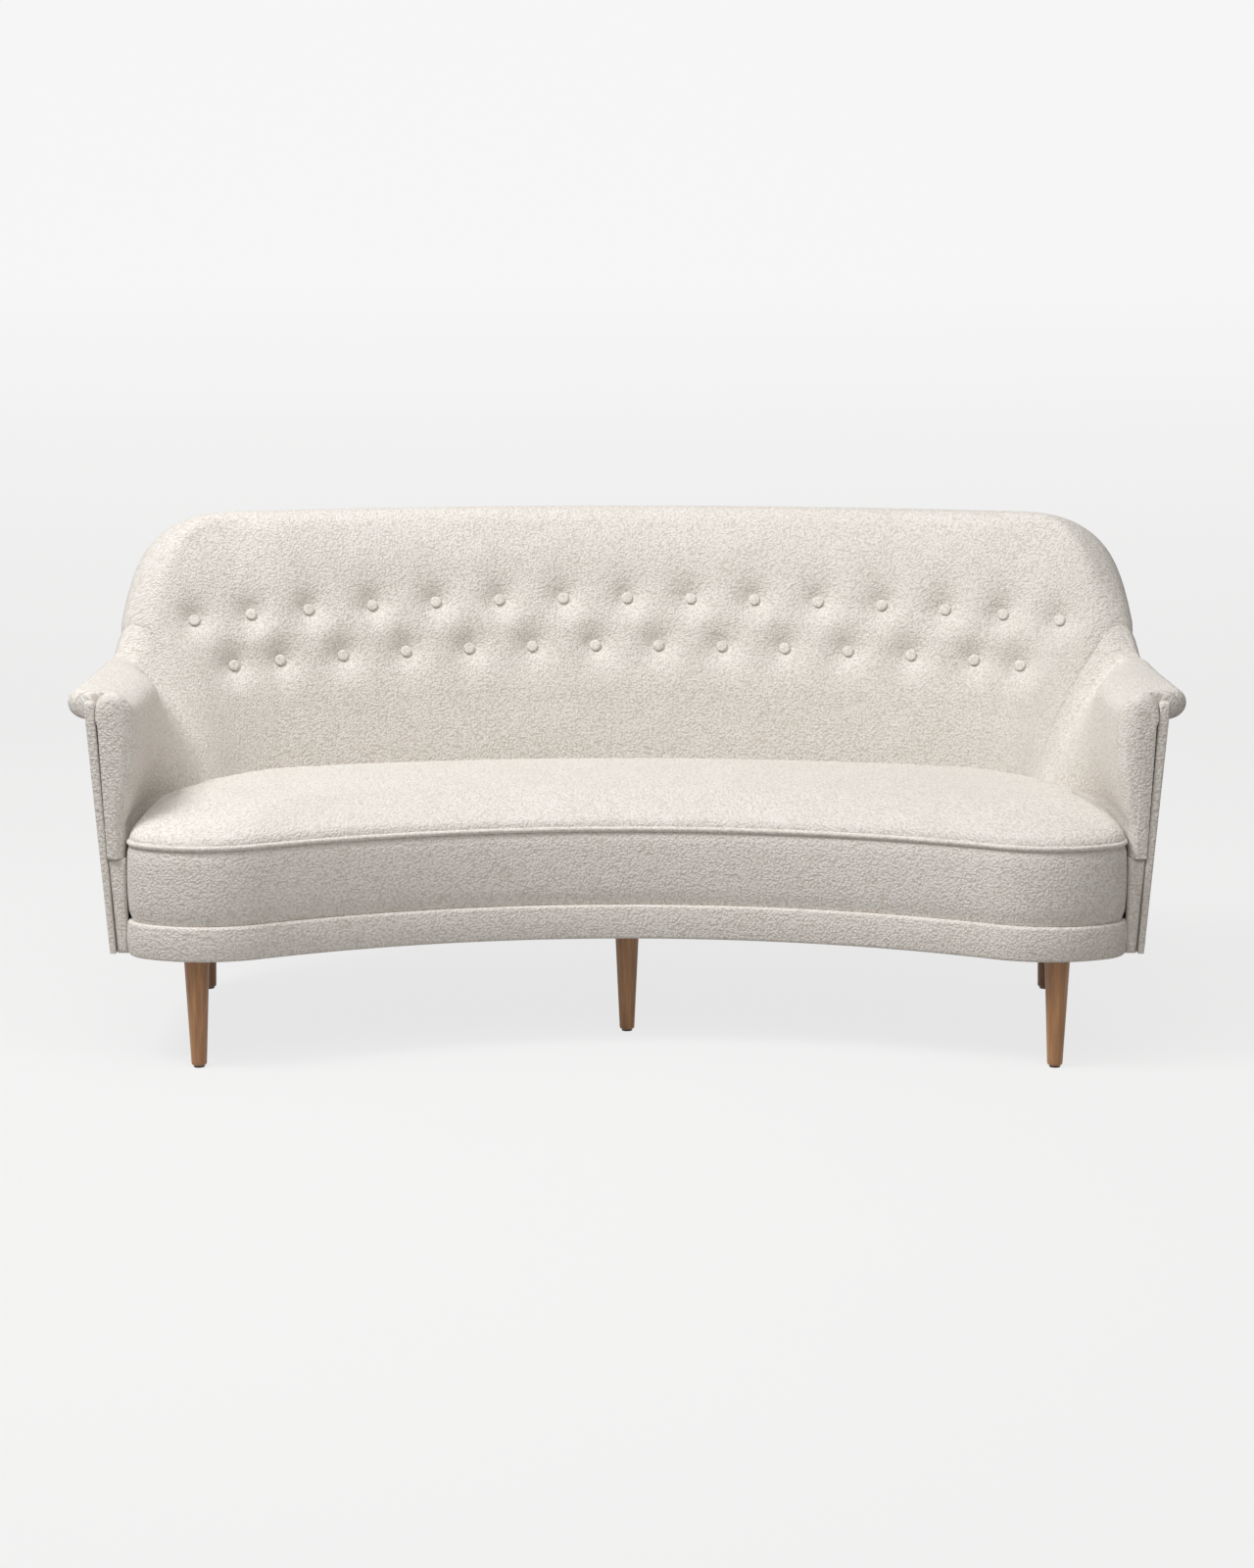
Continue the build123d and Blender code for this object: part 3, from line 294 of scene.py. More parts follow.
def seat_outline(inset, draw=0.0):
    """Closed outline of the seat: 600 points from the middle of its front round to the right."""
    plan = seat_plan(draw)
    side = np.linspace((plan.side_x - inset, plan.end_y), (plan.side_x - inset, plan.rear_y), 21)[:-1]
    rear = pi / 2 - plan.rear_angle
    half = np.concatenate([
        seat_front(inset, draw),
        side,
        arc_points((plan.rear_x, plan.rear_y), plan.rear_corner - inset, 0, rear, 50),
        arc_points((0, BACK_Y), plan.rear_radius - inset, rear, plan.rear_angle, 90),
        [(0, BACK_Y + plan.rear_radius - inset)],
    ])
    return np.concatenate([half, half[-2:0:-1] * (-1, 1)])


def inner_reach(station):
    """Depth of the padding at seat level."""
    plan = seat_plan(0.0)
    if station.y < plan.rear_y:
        return ARM_THICKNESS
    if station.walk < 0:
        return BACK_THICKNESS
    away = (abs(station.x) - plan.rear_x, station.y - plan.rear_y)
    along = -away[0] * abs(station.inward_x) + away[1] * station.inward_y
    return -along - sqrt(along**2 - away[0] ** 2 - away[1] ** 2 + plan.rear_corner**2)


def crest_height(station):
    """Top of the padding."""
    return mix((HEIGHT, ARM_HEIGHT), arm_share(station))


def under_height(station):
    """Underside of the rolled edge."""
    return crest_height(station) - mix(UNDER_DROP, arm_share(station))


def bow(start, middle, end, count):
    """Points on the circle through three points, the last one left out."""
    (ax, ay), (bx, by), (cx, cy) = start, middle, end
    d = 2 * (ax * (by - cy) + bx * (cy - ay) + cx * (ay - by))
    if abs(d) < 1e-12:
        return [(ax + (cx - ax) * k / count, ay + (cy - ay) * k / count) for k in range(count)]
    ux = ((ax**2 + ay**2) * (by - cy) + (bx**2 + by**2) * (cy - ay) + (cx**2 + cy**2) * (ay - by)) / d
    uy = ((ax**2 + ay**2) * (cx - bx) + (bx**2 + by**2) * (ax - cx) + (cx**2 + cy**2) * (bx - ax)) / d
    radius = sqrt((ax - ux) ** 2 + (ay - uy) ** 2)
    first = atan2(ay - uy, ax - ux)
    turn = (atan2(cy - uy, cx - ux) - first) % (2 * pi)
    if (atan2(by - uy, bx - ux) - first) % (2 * pi) > turn:
        turn -= 2 * pi
    return [(ux + radius * cos(first + turn * k / count), uy + radius * sin(first + turn * k / count))
            for k in range(count)]


def straight(start, end, count):
    """Points along a line, the last one left out."""
    return [(start[0] + (end[0] - start[0]) * k / count, start[1] + (end[1] - start[1]) * k / count)
            for k in range(count)]


def oval(centre, reach, start, count):
    """Points along a quarter of an oval, the last one left out."""
    turns = [start + k * pi / 2 / count for k in range(count)]
    return [(centre[0] + reach[0] * cos(turn), centre[1] + reach[1] * sin(turn)) for turn in turns]


def corner_arc(t, z, size, first, count):
    """Points along a quarter turn round a point, both its ends included."""
    turns = [first + k * pi / 2 / (count - 1) for k in range(count)]
    return [(t + size * cos(turn), z + size * sin(turn)) for turn in turns]


def run_round(ring):
    """Distance round a closed ring to each of its points, and back to its start."""
    steps = np.diff(np.vstack([ring, ring[:1]]), axis=0)
    return np.concatenate([[0], np.cumsum(np.linalg.norm(steps, axis=1))])


def soft_turn(start, heading, end, count):
    """Points from a leaning face over to a level top, the last one left out."""
    rise, run = end[1] - start[1], start[0] - end[0]
    first = (start[0] + 0.62 * rise * heading[0], start[1] + 0.62 * rise * heading[1])
    second = (end[0] + 0.58 * run, end[1])
    corners = np.array((start, first, second, end))
    points = []
    for k in range(count):
        w = k / count
        weights = ((1 - w) ** 3, 3 * w * (1 - w) ** 2, 3 * w * w * (1 - w), w**3)
        points.append(tuple(weights @ corners))
    return points


def pad_section(station, foot_in, step_in, rounding=0.0, ear=1.0):
    """Closed section of the padding: depth from the outside line, and height."""
    arm, wing = arm_share(station), wing_share(station)
    top = crest_height(station) - ROUNDING_TOP_SHARE * rounding
    seat_t = inner_reach(station) - ROUNDING_SEAT_SHARE * rounding
    shoulder_t = mix(SHOULDER_REACH, arm) - WING_THIN * wing - rounding
    shoulder_z = top - mix(SHOULDER_DROP, arm)
    crest_t = mix(CREST_REACH, arm * ear) - WING_CREST_SHARE * WING_THIN * wing
    roll_z = top - mix(ROLL_DROP, arm)
    under_z = min(under_height(station), roll_z - ROLL_LEAST)
    edge = strip_in(roll_z) + EDGE_GAP
    roll_t = outside(roll_z) + mix((edge, -BEAD - WING_OVERHANG * wing), ear)
    under_t = outside(under_z) + mix((edge, BEAD), ear)
    roll_t = mix((roll_t, -EAR_OVERHANG), arm * ear)
    under_t = mix((under_t, -EAR_TUCK), arm * ear)
    foot = (outside(PAD_BOTTOM) + foot_in, PAD_BOTTOM)
    toe, knee = (seat_t, PAD_BOTTOM), (seat_t, KNEE)
    shoulder, crest = (shoulder_t, shoulder_z), (crest_t, top)
    under = (under_t, under_z)
    step = (outside(under_z) + step_in, under_z)
    middle = ((seat_t + shoulder_t) / 2 + mix(FACE_BULGE, arm), (KNEE + shoulder_z) / 2)
    face = bow(knee, middle, shoulder, 64)
    heading = Vector((shoulder[0] - face[-1][0], shoulder[1] - face[-1][1])).normalized()
    points = straight(foot, toe, 5) + straight(toe, knee, 7) + face
    points += soft_turn(shoulder, heading, crest, 16)
    points += oval((crest_t, roll_z), (crest_t - roll_t, top - roll_z), 0.5 * pi, 14)
    points += oval((under_t, roll_z), (under_t - roll_t, roll_z - under_z), pi, 10)
    points += straight(under, step, 5) + straight(step, foot, 8)
    return np.array(points)


def panel_section(station):
    """Closed section of an outside panel with soft edges."""
    low, high = FLOOR_GAP + 0.001, under_height(station) - 0.0003
    ring, small = EDGE_RING, 0.001
    corners = []
    for t, z, size, first in ((ring, low + ring, ring, pi), (PANEL - small, low + small, small, 1.5 * pi),
                              (PANEL - small, high - small, small, 0.0), (ring, high - ring, ring, 0.5 * pi)):
        corners.append(corner_arc(outside(z) + t, z, size, first, 5))
    inner = straight(corners[1][-1], corners[2][0], 10)
    outer = straight(corners[3][-1], corners[0][0], 40)
    outer = [(t - 0.002 * sin(pi * k / 40), z) for k, (t, z) in enumerate(outer)]
    return np.array(corners[0] + corners[1][:-1] + inner + corners[2] + corners[3][:-1] + outer)


def panel_mesh(stations, depth):
    """Mesh of an outside panel along its stations, drawn in at its seam."""
    rings = [place(station, panel_section(station), seam_sink(gap, depth)) for station, gap in stations]
    return loft_mesh(rings)


def smooth(mesh):
    """Smooth shading all over."""
    mesh.polygons.foreach_set("use_smooth", np.ones(len(mesh.polygons), bool))


def make_object(name, vertices, faces, uvs=None):
    """Mesh object from vertices and faces, its normals outwards, with cloth coordinates in metres."""
    mesh = bpy.data.meshes.new(name)
    mesh.from_pydata([tuple(v) for v in vertices], [], faces)
    mesh.update()
    if uvs is not None:
        layer = mesh.uv_layers.new(name="cloth")
        layer.data.foreach_set("uv", np.asarray(uvs, dtype=np.float32).ravel())
    shell = bmesh.new()
    shell.from_mesh(mesh)
    bmesh.ops.recalc_face_normals(shell, faces=shell.faces)
    for edge in shell.edges:
        edge.smooth = not (edge.is_manifold and edge.calc_face_angle() > SHARP_EDGE)
    shell.to_mesh(mesh)
    shell.free()
    smooth(mesh)
    piece = bpy.data.objects.new(name, mesh)
    bpy.context.scene.collection.objects.link(piece)
    return piece


def quads(count, ring):
    """Faces between a closed ring of points and the next one."""
    low, high = ring * count, (ring + 1) * count
    return [(low + p, low + (p + 1) % count, high + (p + 1) % count, high + p) for p in range(count)]


def loft_mesh(rings, front_bulge=0.0):
    """Closed mesh through rings of equal count, with both ends drawn shut."""
    rings = [np.asarray(ring) for ring in rings]
    count, open_rings = len(rings[0]), len(rings)
    end = rings[-1]
    middle = end.mean(0)
    for share in (0.82, 0.6, 0.38, 0.16):
        shut = middle + (end - middle) * share
        shut[:, 1] -= front_bulge * (1 - share**2)
        rings.append(shut)
    vertices = np.concatenate(rings + [rings[0].mean(0)[None], rings[-1].mean(0)[None]])
    along = [0.0]
    guide = count // 2
    for before, after in zip(rings, rings[1:]):
        along.append(along[-1] + float(np.linalg.norm(after[guide] - before[guide])))
    faces, uvs = [], []
    around = [run_round(ring) for ring in rings[:open_rings]]
    for s in range(len(rings) - 1):
        for p, face in enumerate(quads(count, s)):
            faces.append(face)
            if s < open_rings - 1:
                uvs += [(along[s], around[s][p]), (along[s], around[s][p + 1]),
                        (along[s + 1], around[s + 1][p + 1]), (along[s + 1], around[s + 1][p])]
            else:
                uvs += [(vertices[k][0], vertices[k][2]) for k in face]
    for ring, centre in ((0, len(vertices) - 2), (len(rings) - 1, len(vertices) - 1)):
        for p in range(count):
            faces.append((ring * count + p, ring * count + (p + 1) % count, centre))
            uvs += [(vertices[k][0], vertices[k][2]) for k in faces[-1]]
    return vertices, faces, uvs


def loft_piece(name, *meshes):
    """One piece from one or more closed meshes."""
    vertices, faces, uvs = [], [], []
    for points, sides, cloth in meshes:
        faces += [tuple(k + len(vertices) for k in side) for side in sides]
        vertices += list(points)
        uvs += cloth
    return make_object(name, vertices, faces, uvs)


def edge_strip(side):
    """Mesh of the strip that stands up the arm's front edge, with a rounded head."""
    neck, ring = STRIP_TOP - STRIP_HEAD, EDGE_RING
    levels = [(z, 0.0) for z in np.linspace(FLOOR_GAP + 0.001, neck, 40)]
    for turn in np.linspace(0, pi / 2, 7)[1:]:
        levels.append((neck + STRIP_HEAD * sin(turn), 0.6 * STRIP_HEAD * (1 - cos(turn))))
    rings = []
    for z, inset in levels:
        outer, inner = outside(z) + inset, outside(z) + strip_in(z) - inset
        middle = STRIP_FRONT + inset + ring
        points = corner_arc(outer + ring, middle, ring, pi, 5)
        points += corner_arc(inner - ring, middle, ring, 1.5 * pi, 5)
        points += [(inner, STRIP_REAR), (outer, STRIP_REAR)]
        rings.append(np.array([(side * (ARM_HALF - t), y, z) for t, y in points]))
    return loft_mesh(rings)


def place(station, section, sink=0.0):
    """Section stood up at its station, drawn in by a seam's depth, less so down its inner face."""
    if sink:
        step = np.roll(section, -1, 0) - np.roll(section, 1, 0)
        normal = np.stack([step[:, 1], -step[:, 0]], 1)
        normal *= np.clip((section[:, 1:] - section[:, 1].max() + 0.14) / 0.10, 0, 1)
        section = section - sink * normal / np.maximum(np.linalg.norm(step, axis=1, keepdims=True), 1e-9)
    t, z = section.T
    return np.stack([station.x + station.inward_x * t, station.y + station.inward_y * t, z], 1)


def seam_sink(distance, depth):
    """How far the cloth dips at a distance from a seam."""
    return depth * exp(-((distance / 0.006) ** 2))


def back_stations():
    """Stations of the back from seam to seam, each with its distance from the nearer one."""
    corner = np.linspace(SEAM, pi / 2 - CORNER_START, 47)[:-1]
    turns = np.linspace(-CORNER_START, CORNER_START, 247)
    left = [(corner_station(turn, -1), CORNER_RADIUS * (turn - SEAM)) for turn in corner]
    right = [(corner_station(turn, 1), CORNER_RADIUS * (turn - SEAM)) for turn in corner[::-1]]
    return left + [(back_station(turn), 1.0) for turn in turns] + right


def arm_stations(side, front):
    """Stations of an arm from the back's seam to its front, each with its distance from the seam."""
    turns = np.linspace(SEAM, 0, 13)[:-1]
    bend = [(corner_station(turn, side), CORNER_RADIUS * (SEAM - turn)) for turn in turns]
    start = CORNER_RADIUS * SEAM
    places = np.concatenate([
        np.linspace(CORNER_Y, ARM_FRONT + EAR_START, 56)[:-1],
        ARM_FRONT + EAR_START - EAR_LENGTH * np.sin(np.linspace(0, pi / 2, 18))[:-1],
        np.linspace(ARM_FRONT + EAR_START - EAR_LENGTH, front, 14),
    ])
    return bend + [(arm_station(y, side), start + CORNER_Y - y) for y in places if y >= front - 1e-6]


def front_rounding(y):
    """How far the arm's front edge is rounded off."""
    run = max(ARM_FRONT + ROUNDING - y, 0.0)
    return ROUNDING - sqrt(max(ROUNDING**2 - run**2, 0.0))


def ear_share(y):
    """1 along the roll, and 0 in front of its domed end."""
    run = max(ARM_FRONT + EAR_START - y, 0.0) / EAR_LENGTH
    return sqrt(max(1 - run**2, 0.0))


def face_point(distance, row, pitch):
    """Point of the plain face at a distance along the back from its middle."""
    past = abs(distance) - (BACK_RADIUS - FACE_REACH) * CORNER_START
    if past > 0:
        turn = pi / 2 - CORNER_START - past / (CORNER_RADIUS - WING_FACE_REACH)
        station = corner_station(turn, 1 if distance > 0 else -1)
    else:
        station = back_station(distance / (BACK_RADIUS - FACE_REACH))
    section = pad_section(station, BACK_PAD_IN, BACK_PAD_IN)[12:93]
    z = row - TUFT_ARCH * (distance / (7 * pitch)) ** 2
    reach = float(np.interp(z, section[:, 1], section[:, 0]))
    return Vector((station.x + station.inward_x * reach, station.y + station.inward_y * reach, z))


def find_tufts(pitch):
    """Middle and facing of each tuft on the plain back."""
    step = TUFT_STEP
    tufts = []
    for row, places in TUFT_ROWS:
        for distance in places * pitch:
            middle = face_point(distance, row, pitch)
            across = face_point(distance + step, row, pitch) - face_point(distance - step, row, pitch)
            up = face_point(distance, row + step, pitch) - face_point(distance, row - step, pitch)
            tufts.append((middle, across.cross(up).normalized()))
    return tufts


def pull_tufts(points, tufts, depth, reach):
    """Points of the back drawn in round every button: a broad dish with a sharper pull at its middle."""
    pulled = points.copy()
    for centre, facing in tufts:
        r = np.linalg.norm(points - np.array(centre), axis=1)
        dish = np.clip(1 - (r / reach) ** 2, 0, None) ** 2
        pull = np.exp(-((r / 0.020) ** 2))
        pulled -= (depth * (0.5 * dish + 0.5 * pull))[:, None] * np.array(facing)
    return pulled


def settle(piece, free, pressure, limit, frames):
    """Blows the free part of a cover up as cloth, and keeps the result in its mesh."""
    mesh = piece.data
    before = np.empty(len(mesh.vertices) * 3)
    mesh.vertices.foreach_get("co", before)
    before = before.reshape(-1, 3)
    held = piece.vertex_groups.new(name="held")
    for level in range(11):
        chosen = np.nonzero(np.round((1 - free) * 10).astype(int) == level)[0].tolist()
        if chosen:
            held.add(chosen, level / 10, "REPLACE")
    cloth = piece.modifiers.new("puff", "CLOTH")
    cloth.settings.quality = 4
    cloth.settings.use_pressure = True
    cloth.settings.uniform_pressure_force = pressure
    cloth.settings.effector_weights.gravity = 0
    cloth.settings.vertex_group_mass = held.name
    cloth.settings.tension_stiffness = 20
    cloth.settings.compression_stiffness = 20
    cloth.settings.shear_stiffness = 8
    cloth.settings.bending_stiffness = 2
    cloth.point_cache.frame_end = frames
    scene = bpy.context.scene
    for number in range(1, frames + 1):
        scene.frame_set(number)
    shape = piece.evaluated_get(bpy.context.evaluated_depsgraph_get()).data
    after = np.empty(len(mesh.vertices) * 3)
    shape.vertices.foreach_get("co", after)
    move = after.reshape(-1, 3) - before
    size = np.maximum(np.linalg.norm(move, axis=1, keepdims=True), 1e-9)
    move *= np.minimum(1, limit / size) * free[:, None]
    piece.modifiers.remove(cloth)
    piece.vertex_groups.remove(held)
    scene.frame_set(1)
    mesh.vertices.foreach_set("co", (before + move).ravel())
    mesh.update()


def finish_piece(piece, material, nodes=()):
    """Material, body, slot and the solids that a piece stands for."""
    piece.data.materials.clear()
    piece.data.materials.append(material)
    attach(piece, "root")
    if nodes:
        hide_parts(*nodes)


class Graph:
    """A node tree with its nodes within easy reach."""

    def __init__(self, tree):
        self.nodes = tree.nodes
        self.links = tree.links

    def node(self, kind, inputs=None, **settings):
        """New node with its settings, inputs and links."""
        made = self.nodes.new(kind)
        for name, value in settings.items():
            setattr(made, name, value)
        for name, value in (inputs or {}).items():
            if isinstance(value, bpy.types.NodeSocket):
                self.links.new(value, made.inputs[name])
            else:
                made.inputs[name].default_value = value
        return made

    def math(self, operation, first, second):
        """Sum, product or other result of two values."""
        return self.node("ShaderNodeMath", {0: first, 1: second}, operation=operation).outputs[0]

    def seen(self):
        """1 for the rays that show the studio itself: straight, mirrored or through glass."""
        path = self.node("ShaderNodeLightPath").outputs
        bent = self.math("MAXIMUM", path["Is Glossy Ray"], path["Is Transmission Ray"])
        return self.math("MAXIMUM", path["Is Camera Ray"], bent)


class Finish(Graph):
    """A new material and its shader."""

    def __init__(self, name):
        self.material = bpy.data.materials.new(name)
        self.material.use_nodes = True
        super().__init__(self.material.node_tree)
        self.shader = self.nodes["Principled BSDF"]

    def stretch(self, source, scale):
        """Coordinates scaled along each axis."""
        return self.node("ShaderNodeMapping", {"Vector": source, "Scale": scale}).outputs["Vector"]

    def noise(self, source, scale, detail=2.0, rough=0.5):
        """Noise value on coordinates."""
        return self.node("ShaderNodeTexNoise", {"Vector": source, "Scale": scale, "Detail": detail,
                                                "Roughness": rough}).outputs["Fac"]

    def ramp(self, value, stops):
        """Colour from a value."""
        made = self.node("ShaderNodeValToRGB", {"Fac": value})
        elements = made.color_ramp.elements
        while len(elements) < len(stops):
            elements.new(0.5)
        for element, (place_at, colour) in zip(elements, stops):
            element.position = place_at
            element.color = (*colour, 1.0)
        return made.outputs["Color"]

    def finish(self, colour, height, distance, rough):
        """Colour, bump and roughness on the shader."""
        bump = self.node("ShaderNodeBump", {"Height": height, "Distance": distance, "Strength": 1.0})
        self.links.new(colour, self.shader.inputs["Base Color"])
        self.links.new(bump.outputs["Normal"], self.shader.inputs["Normal"])
        if isinstance(rough, bpy.types.NodeSocket):
            self.links.new(rough, self.shader.inputs["Roughness"])
        else:
            self.shader.inputs["Roughness"].default_value = rough
        return self.material


def cover_cloth(name, light, dark, depth, coordinates="cloth"):
    """Nubby woven cloth: rounded loops of yarn over threads that run both ways, with some slubs; painted
    shade darkens the weave's hollows and a painted highlight lightens its highest nubs, over a random tone.
    """
    cloth = Finish(name)
    if coordinates == "cloth":
        uv = cloth.node("ShaderNodeUVMap", uv_map="cloth").outputs["UV"]
    else:
        uv = cloth.node("ShaderNodeTexCoord").outputs["Object"]
    sway = cloth.node("ShaderNodeTexNoise", {"Vector": uv, "Scale": 90.0, "Detail": 2.0}).outputs["Color"]
    bent = cloth.node("ShaderNodeMixRGB", {"Fac": 0.006, "Color1": uv, "Color2": sway}).outputs["Color"]
    loops = cloth.node("ShaderNodeTexVoronoi", {"Vector": bent, "Scale": 245.0, "Smoothness": 0.55},
                       feature="SMOOTH_F1").outputs["Distance"]
    nub = cloth.math("SUBTRACT", 1.0, loops)
    warp = cloth.noise(cloth.stretch(uv, (400, 24, 24)), 1.0, 3.0, 0.6)
    weft = cloth.noise(cloth.stretch(uv, (24, 400, 400)), 1.0, 3.0, 0.6)
    curl = cloth.noise(uv, 330.0, 4.0, 0.65)
    patch = cloth.noise(uv, 9.0, 3.0, 0.6)
    threads = cloth.math("MAXIMUM", warp, weft)
    weave = cloth.math("ADD", cloth.math("MULTIPLY", threads, 0.6), cloth.math("MULTIPLY", curl, 0.4))
    raised = cloth.math("ADD", cloth.math("MULTIPLY", nub, 0.45), cloth.math("MULTIPLY", weave, 0.55))
    tone = cloth.math("ADD", raised, cloth.math("MULTIPLY", cloth.math("SUBTRACT", patch, 0.5), 0.12))
    # The colour follows the height of the weave: the dark stop is painted shade in its hollows and the pale
    # stop is a painted highlight on the highest nubs; the patch noise is the cloth's own random tone
    middle = [0.4 * a + 0.6 * b for a, b in zip(dark, light)]
    pale = [min(1.0, 1.05 * b) for b in light]
    colour = cloth.ramp(tone, [(0.40, dark), (0.52, middle), (0.60, light), (0.72, pale)])
    cloth.shader.inputs["Sheen Weight"].default_value = 0.15
    cloth.shader.inputs["Sheen Roughness"].default_value = 0.6
    cloth.shader.inputs["Specular IOR Level"].default_value = 0.15
    return cloth.finish(colour, raised, depth, 0.93)


def turned_wood(name, light, dark, rough):
    """Oiled wood with its grain running upwards."""
    wood = Finish(name)
    place_at = wood.node("ShaderNodeTexCoord").outputs["Object"]
    grain = wood.noise(wood.stretch(place_at, (130, 130, 7)), 1.0, 6.0, 0.62)
    pores = wood.noise(wood.stretch(place_at, (900, 900, 30)), 1.0, 2.0, 0.5)
    band = wood.noise(wood.stretch(place_at, (28, 28, 2.2)), 1.0, 3.0, 0.5)
    tone = wood.math("ADD", wood.math("MULTIPLY", grain, 0.6), wood.math("MULTIPLY", band, 0.4))
    middle = [(a + b) / 2 for a, b in zip(light, dark)]
    colour = wood.ramp(tone, [(0.32, dark), (0.47, middle), (0.6, light)])
    gloss = wood.math("ADD", wood.math("MULTIPLY", pores, 0.16), rough)
    return wood.finish(colour, wood.math("ADD", grain, wood.math("MULTIPLY", pores, 0.5)), 0.0004, gloss)


def plain_finish(name, light, dark, scale, rough, metal=0.0, distance=0.0003):
    """Hidden material with a fine grain: foam, wire, jute, twine, lining or nylon."""
    plain = Finish(name)
    place_at = plain.node("ShaderNodeTexCoord").outputs["Object"]
    grain = plain.noise(plain.stretch(place_at, scale), 1.0, 3.0, 0.6)
    colour = plain.ramp(grain, [(0.35, dark), (0.65, light)])
    plain.shader.inputs["Metallic"].default_value = metal
    return plain.finish(colour, grain, distance, plain.math("ADD", plain.math("MULTIPLY", grain, 0.2), rough))


def finishes():
    """The materials, made once."""
    look = bpy.context.scene.sofa_finish
    if "cover cloth" not in bpy.data.materials:
        cover_cloth("cover cloth", look.cloth_light, look.cloth_hollow_shade, 0.0034)
        cover_cloth("button cloth", look.cloth_light, look.cloth_hollow_shade, 0.0012, "object")
        turned_wood("leg walnut", look.leg_light, look.leg_dark, 0.36)
        turned_wood("frame beech", (0.62, 0.44, 0.27), (0.46, 0.30, 0.17), 0.5)
        plain_finish("cut foam", (0.86, 0.80, 0.60), (0.70, 0.63, 0.45), (300, 300, 300), 0.75)
        plain_finish("steel wire", (0.50, 0.50, 0.51), (0.33, 0.33, 0.34), (500, 500, 60), 0.25, 1.0)
        plain_finish("jute", (0.46, 0.34, 0.20), (0.28, 0.20, 0.11), (700, 90, 700), 0.75)
        plain_finish("waxed twine", (0.66, 0.60, 0.48), (0.46, 0.40, 0.30), (900, 900, 900), 0.6)
        plain_finish("lining cloth", (0.035, 0.035, 0.037), (0.012, 0.012, 0.013), (1100, 1100, 1100), 0.75)
        plain_finish("brown nylon", (0.06, 0.045, 0.035), (0.035, 0.026, 0.02), (900, 900, 900), 0.4)
    return bpy.data.materials


def nodes_group(name, inputs):
    """Geometry node group with a geometry input and output and named inputs."""
    group = bpy.data.node_groups.new(name, "GeometryNodeTree")
    group.interface.new_socket("Geometry", in_out="INPUT", socket_type="NodeSocketGeometry")
    for label, kind in inputs:
        group.interface.new_socket(label, in_out="INPUT", socket_type=kind)
    group.interface.new_socket("Geometry", in_out="OUTPUT", socket_type="NodeSocketGeometry")
    graph = Graph(group)
    return group, graph, graph.node("NodeGroupInput").outputs


def close_group(graph, geometry, material):
    """Last nodes of a group: real geometry with its material."""
    real = graph.node("GeometryNodeRealizeInstances", {"Geometry": geometry}).outputs["Geometry"]
    paint = graph.node("GeometryNodeSetMaterial", {"Geometry": real, "Material": material})
    graph.node("NodeGroupOutput", {"Geometry": paint.outputs["Geometry"]})


def run_nodes(name, base, group, values):
    """Plain mesh object from a node group on a base object, which is then removed."""
    modifier = base.modifiers.new("nodes", "NODES")
    modifier.node_group = group
    for item in group.interface.items_tree:
        if item.in_out == "INPUT" and item.name in values:
            modifier[item.identifier] = values[item.name]
    depsgraph = bpy.context.evaluated_depsgraph_get()
    mesh = bpy.data.meshes.new_from_object(base.evaluated_get(depsgraph))
    mesh.name = name
    bpy.data.objects.remove(base)
    smooth(mesh)
    piece = bpy.data.objects.new(name, mesh)
    bpy.context.scene.collection.objects.link(piece)
    return piece


def lathe(name, profile, foot, head, count=40):
    """Turned piece: radii at shares of the way from its foot to its head, both ends shut."""
    turns = np.linspace(0, 2 * pi, count, endpoint=False)
    foot, head = np.array(foot), np.array(head)
    vertices, faces = [], []
    for share, radius in profile:
        middle = foot + (head - foot) * share
        vertices += [(middle[0] + radius * cos(a), middle[1] + radius * sin(a), middle[2]) for a in turns]
    for ring in range(len(profile) - 1):
        faces += quads(count, ring)
    faces.append(tuple(range(count)))
    faces.append(tuple(range((len(profile) - 1) * count, len(profile) * count)))
    return make_object(name, vertices, faces)


class SOFA_OT_back(bpy.types.Operator):
    """Curved back with its sewn tufts, settled as cloth between the buttons"""
    bl_idname = "sofa.back"
    bl_label = "Back"

    def execute(self, context):
        shape = context.scene.sofa_shape
        stations = back_stations()
        rings = []
        for station, gap in stations:
            section = pad_section(station, BACK_PAD_IN, BACK_PAD_IN)
            rings.append(place(station, section, seam_sink(gap, shape.seam_depth)))
        count = len(rings[0])
        tufts = find_tufts(shape.tuft_pitch)
        plain = np.concatenate(rings)
        pulled = pull_tufts(plain, tufts, shape.tuft_depth, shape.tuft_reach)
        rings = [pulled[k * count:(k + 1) * count] for k in range(len(rings))]
        piece = loft_piece("back_cover", loft_mesh(rings))
        free = np.zeros(len(piece.data.vertices))
        number = np.arange(len(plain)) % count
        on_face = np.clip((number - 22) / 12, 0, 1) * np.clip((88 - number) / 10, 0, 1)
        gaps = np.repeat([gap for _, gap in stations], count)
        near = np.min([np.linalg.norm(plain - np.array(centre), axis=1) for centre, _ in tufts], axis=0)
        off_seam = np.clip((gaps - 0.02) / 0.05, 0, 1)
        off_tuft = np.clip((near - 0.008) / 0.02, 0, 1)
        free[:len(plain)] = on_face * off_seam * off_tuft
        settle(piece, free, 4.0, shape.puff_limit, shape.puff_frames)
        finish_piece(piece, finishes()["cover cloth"], ["back_pad"])
        return {"FINISHED"}


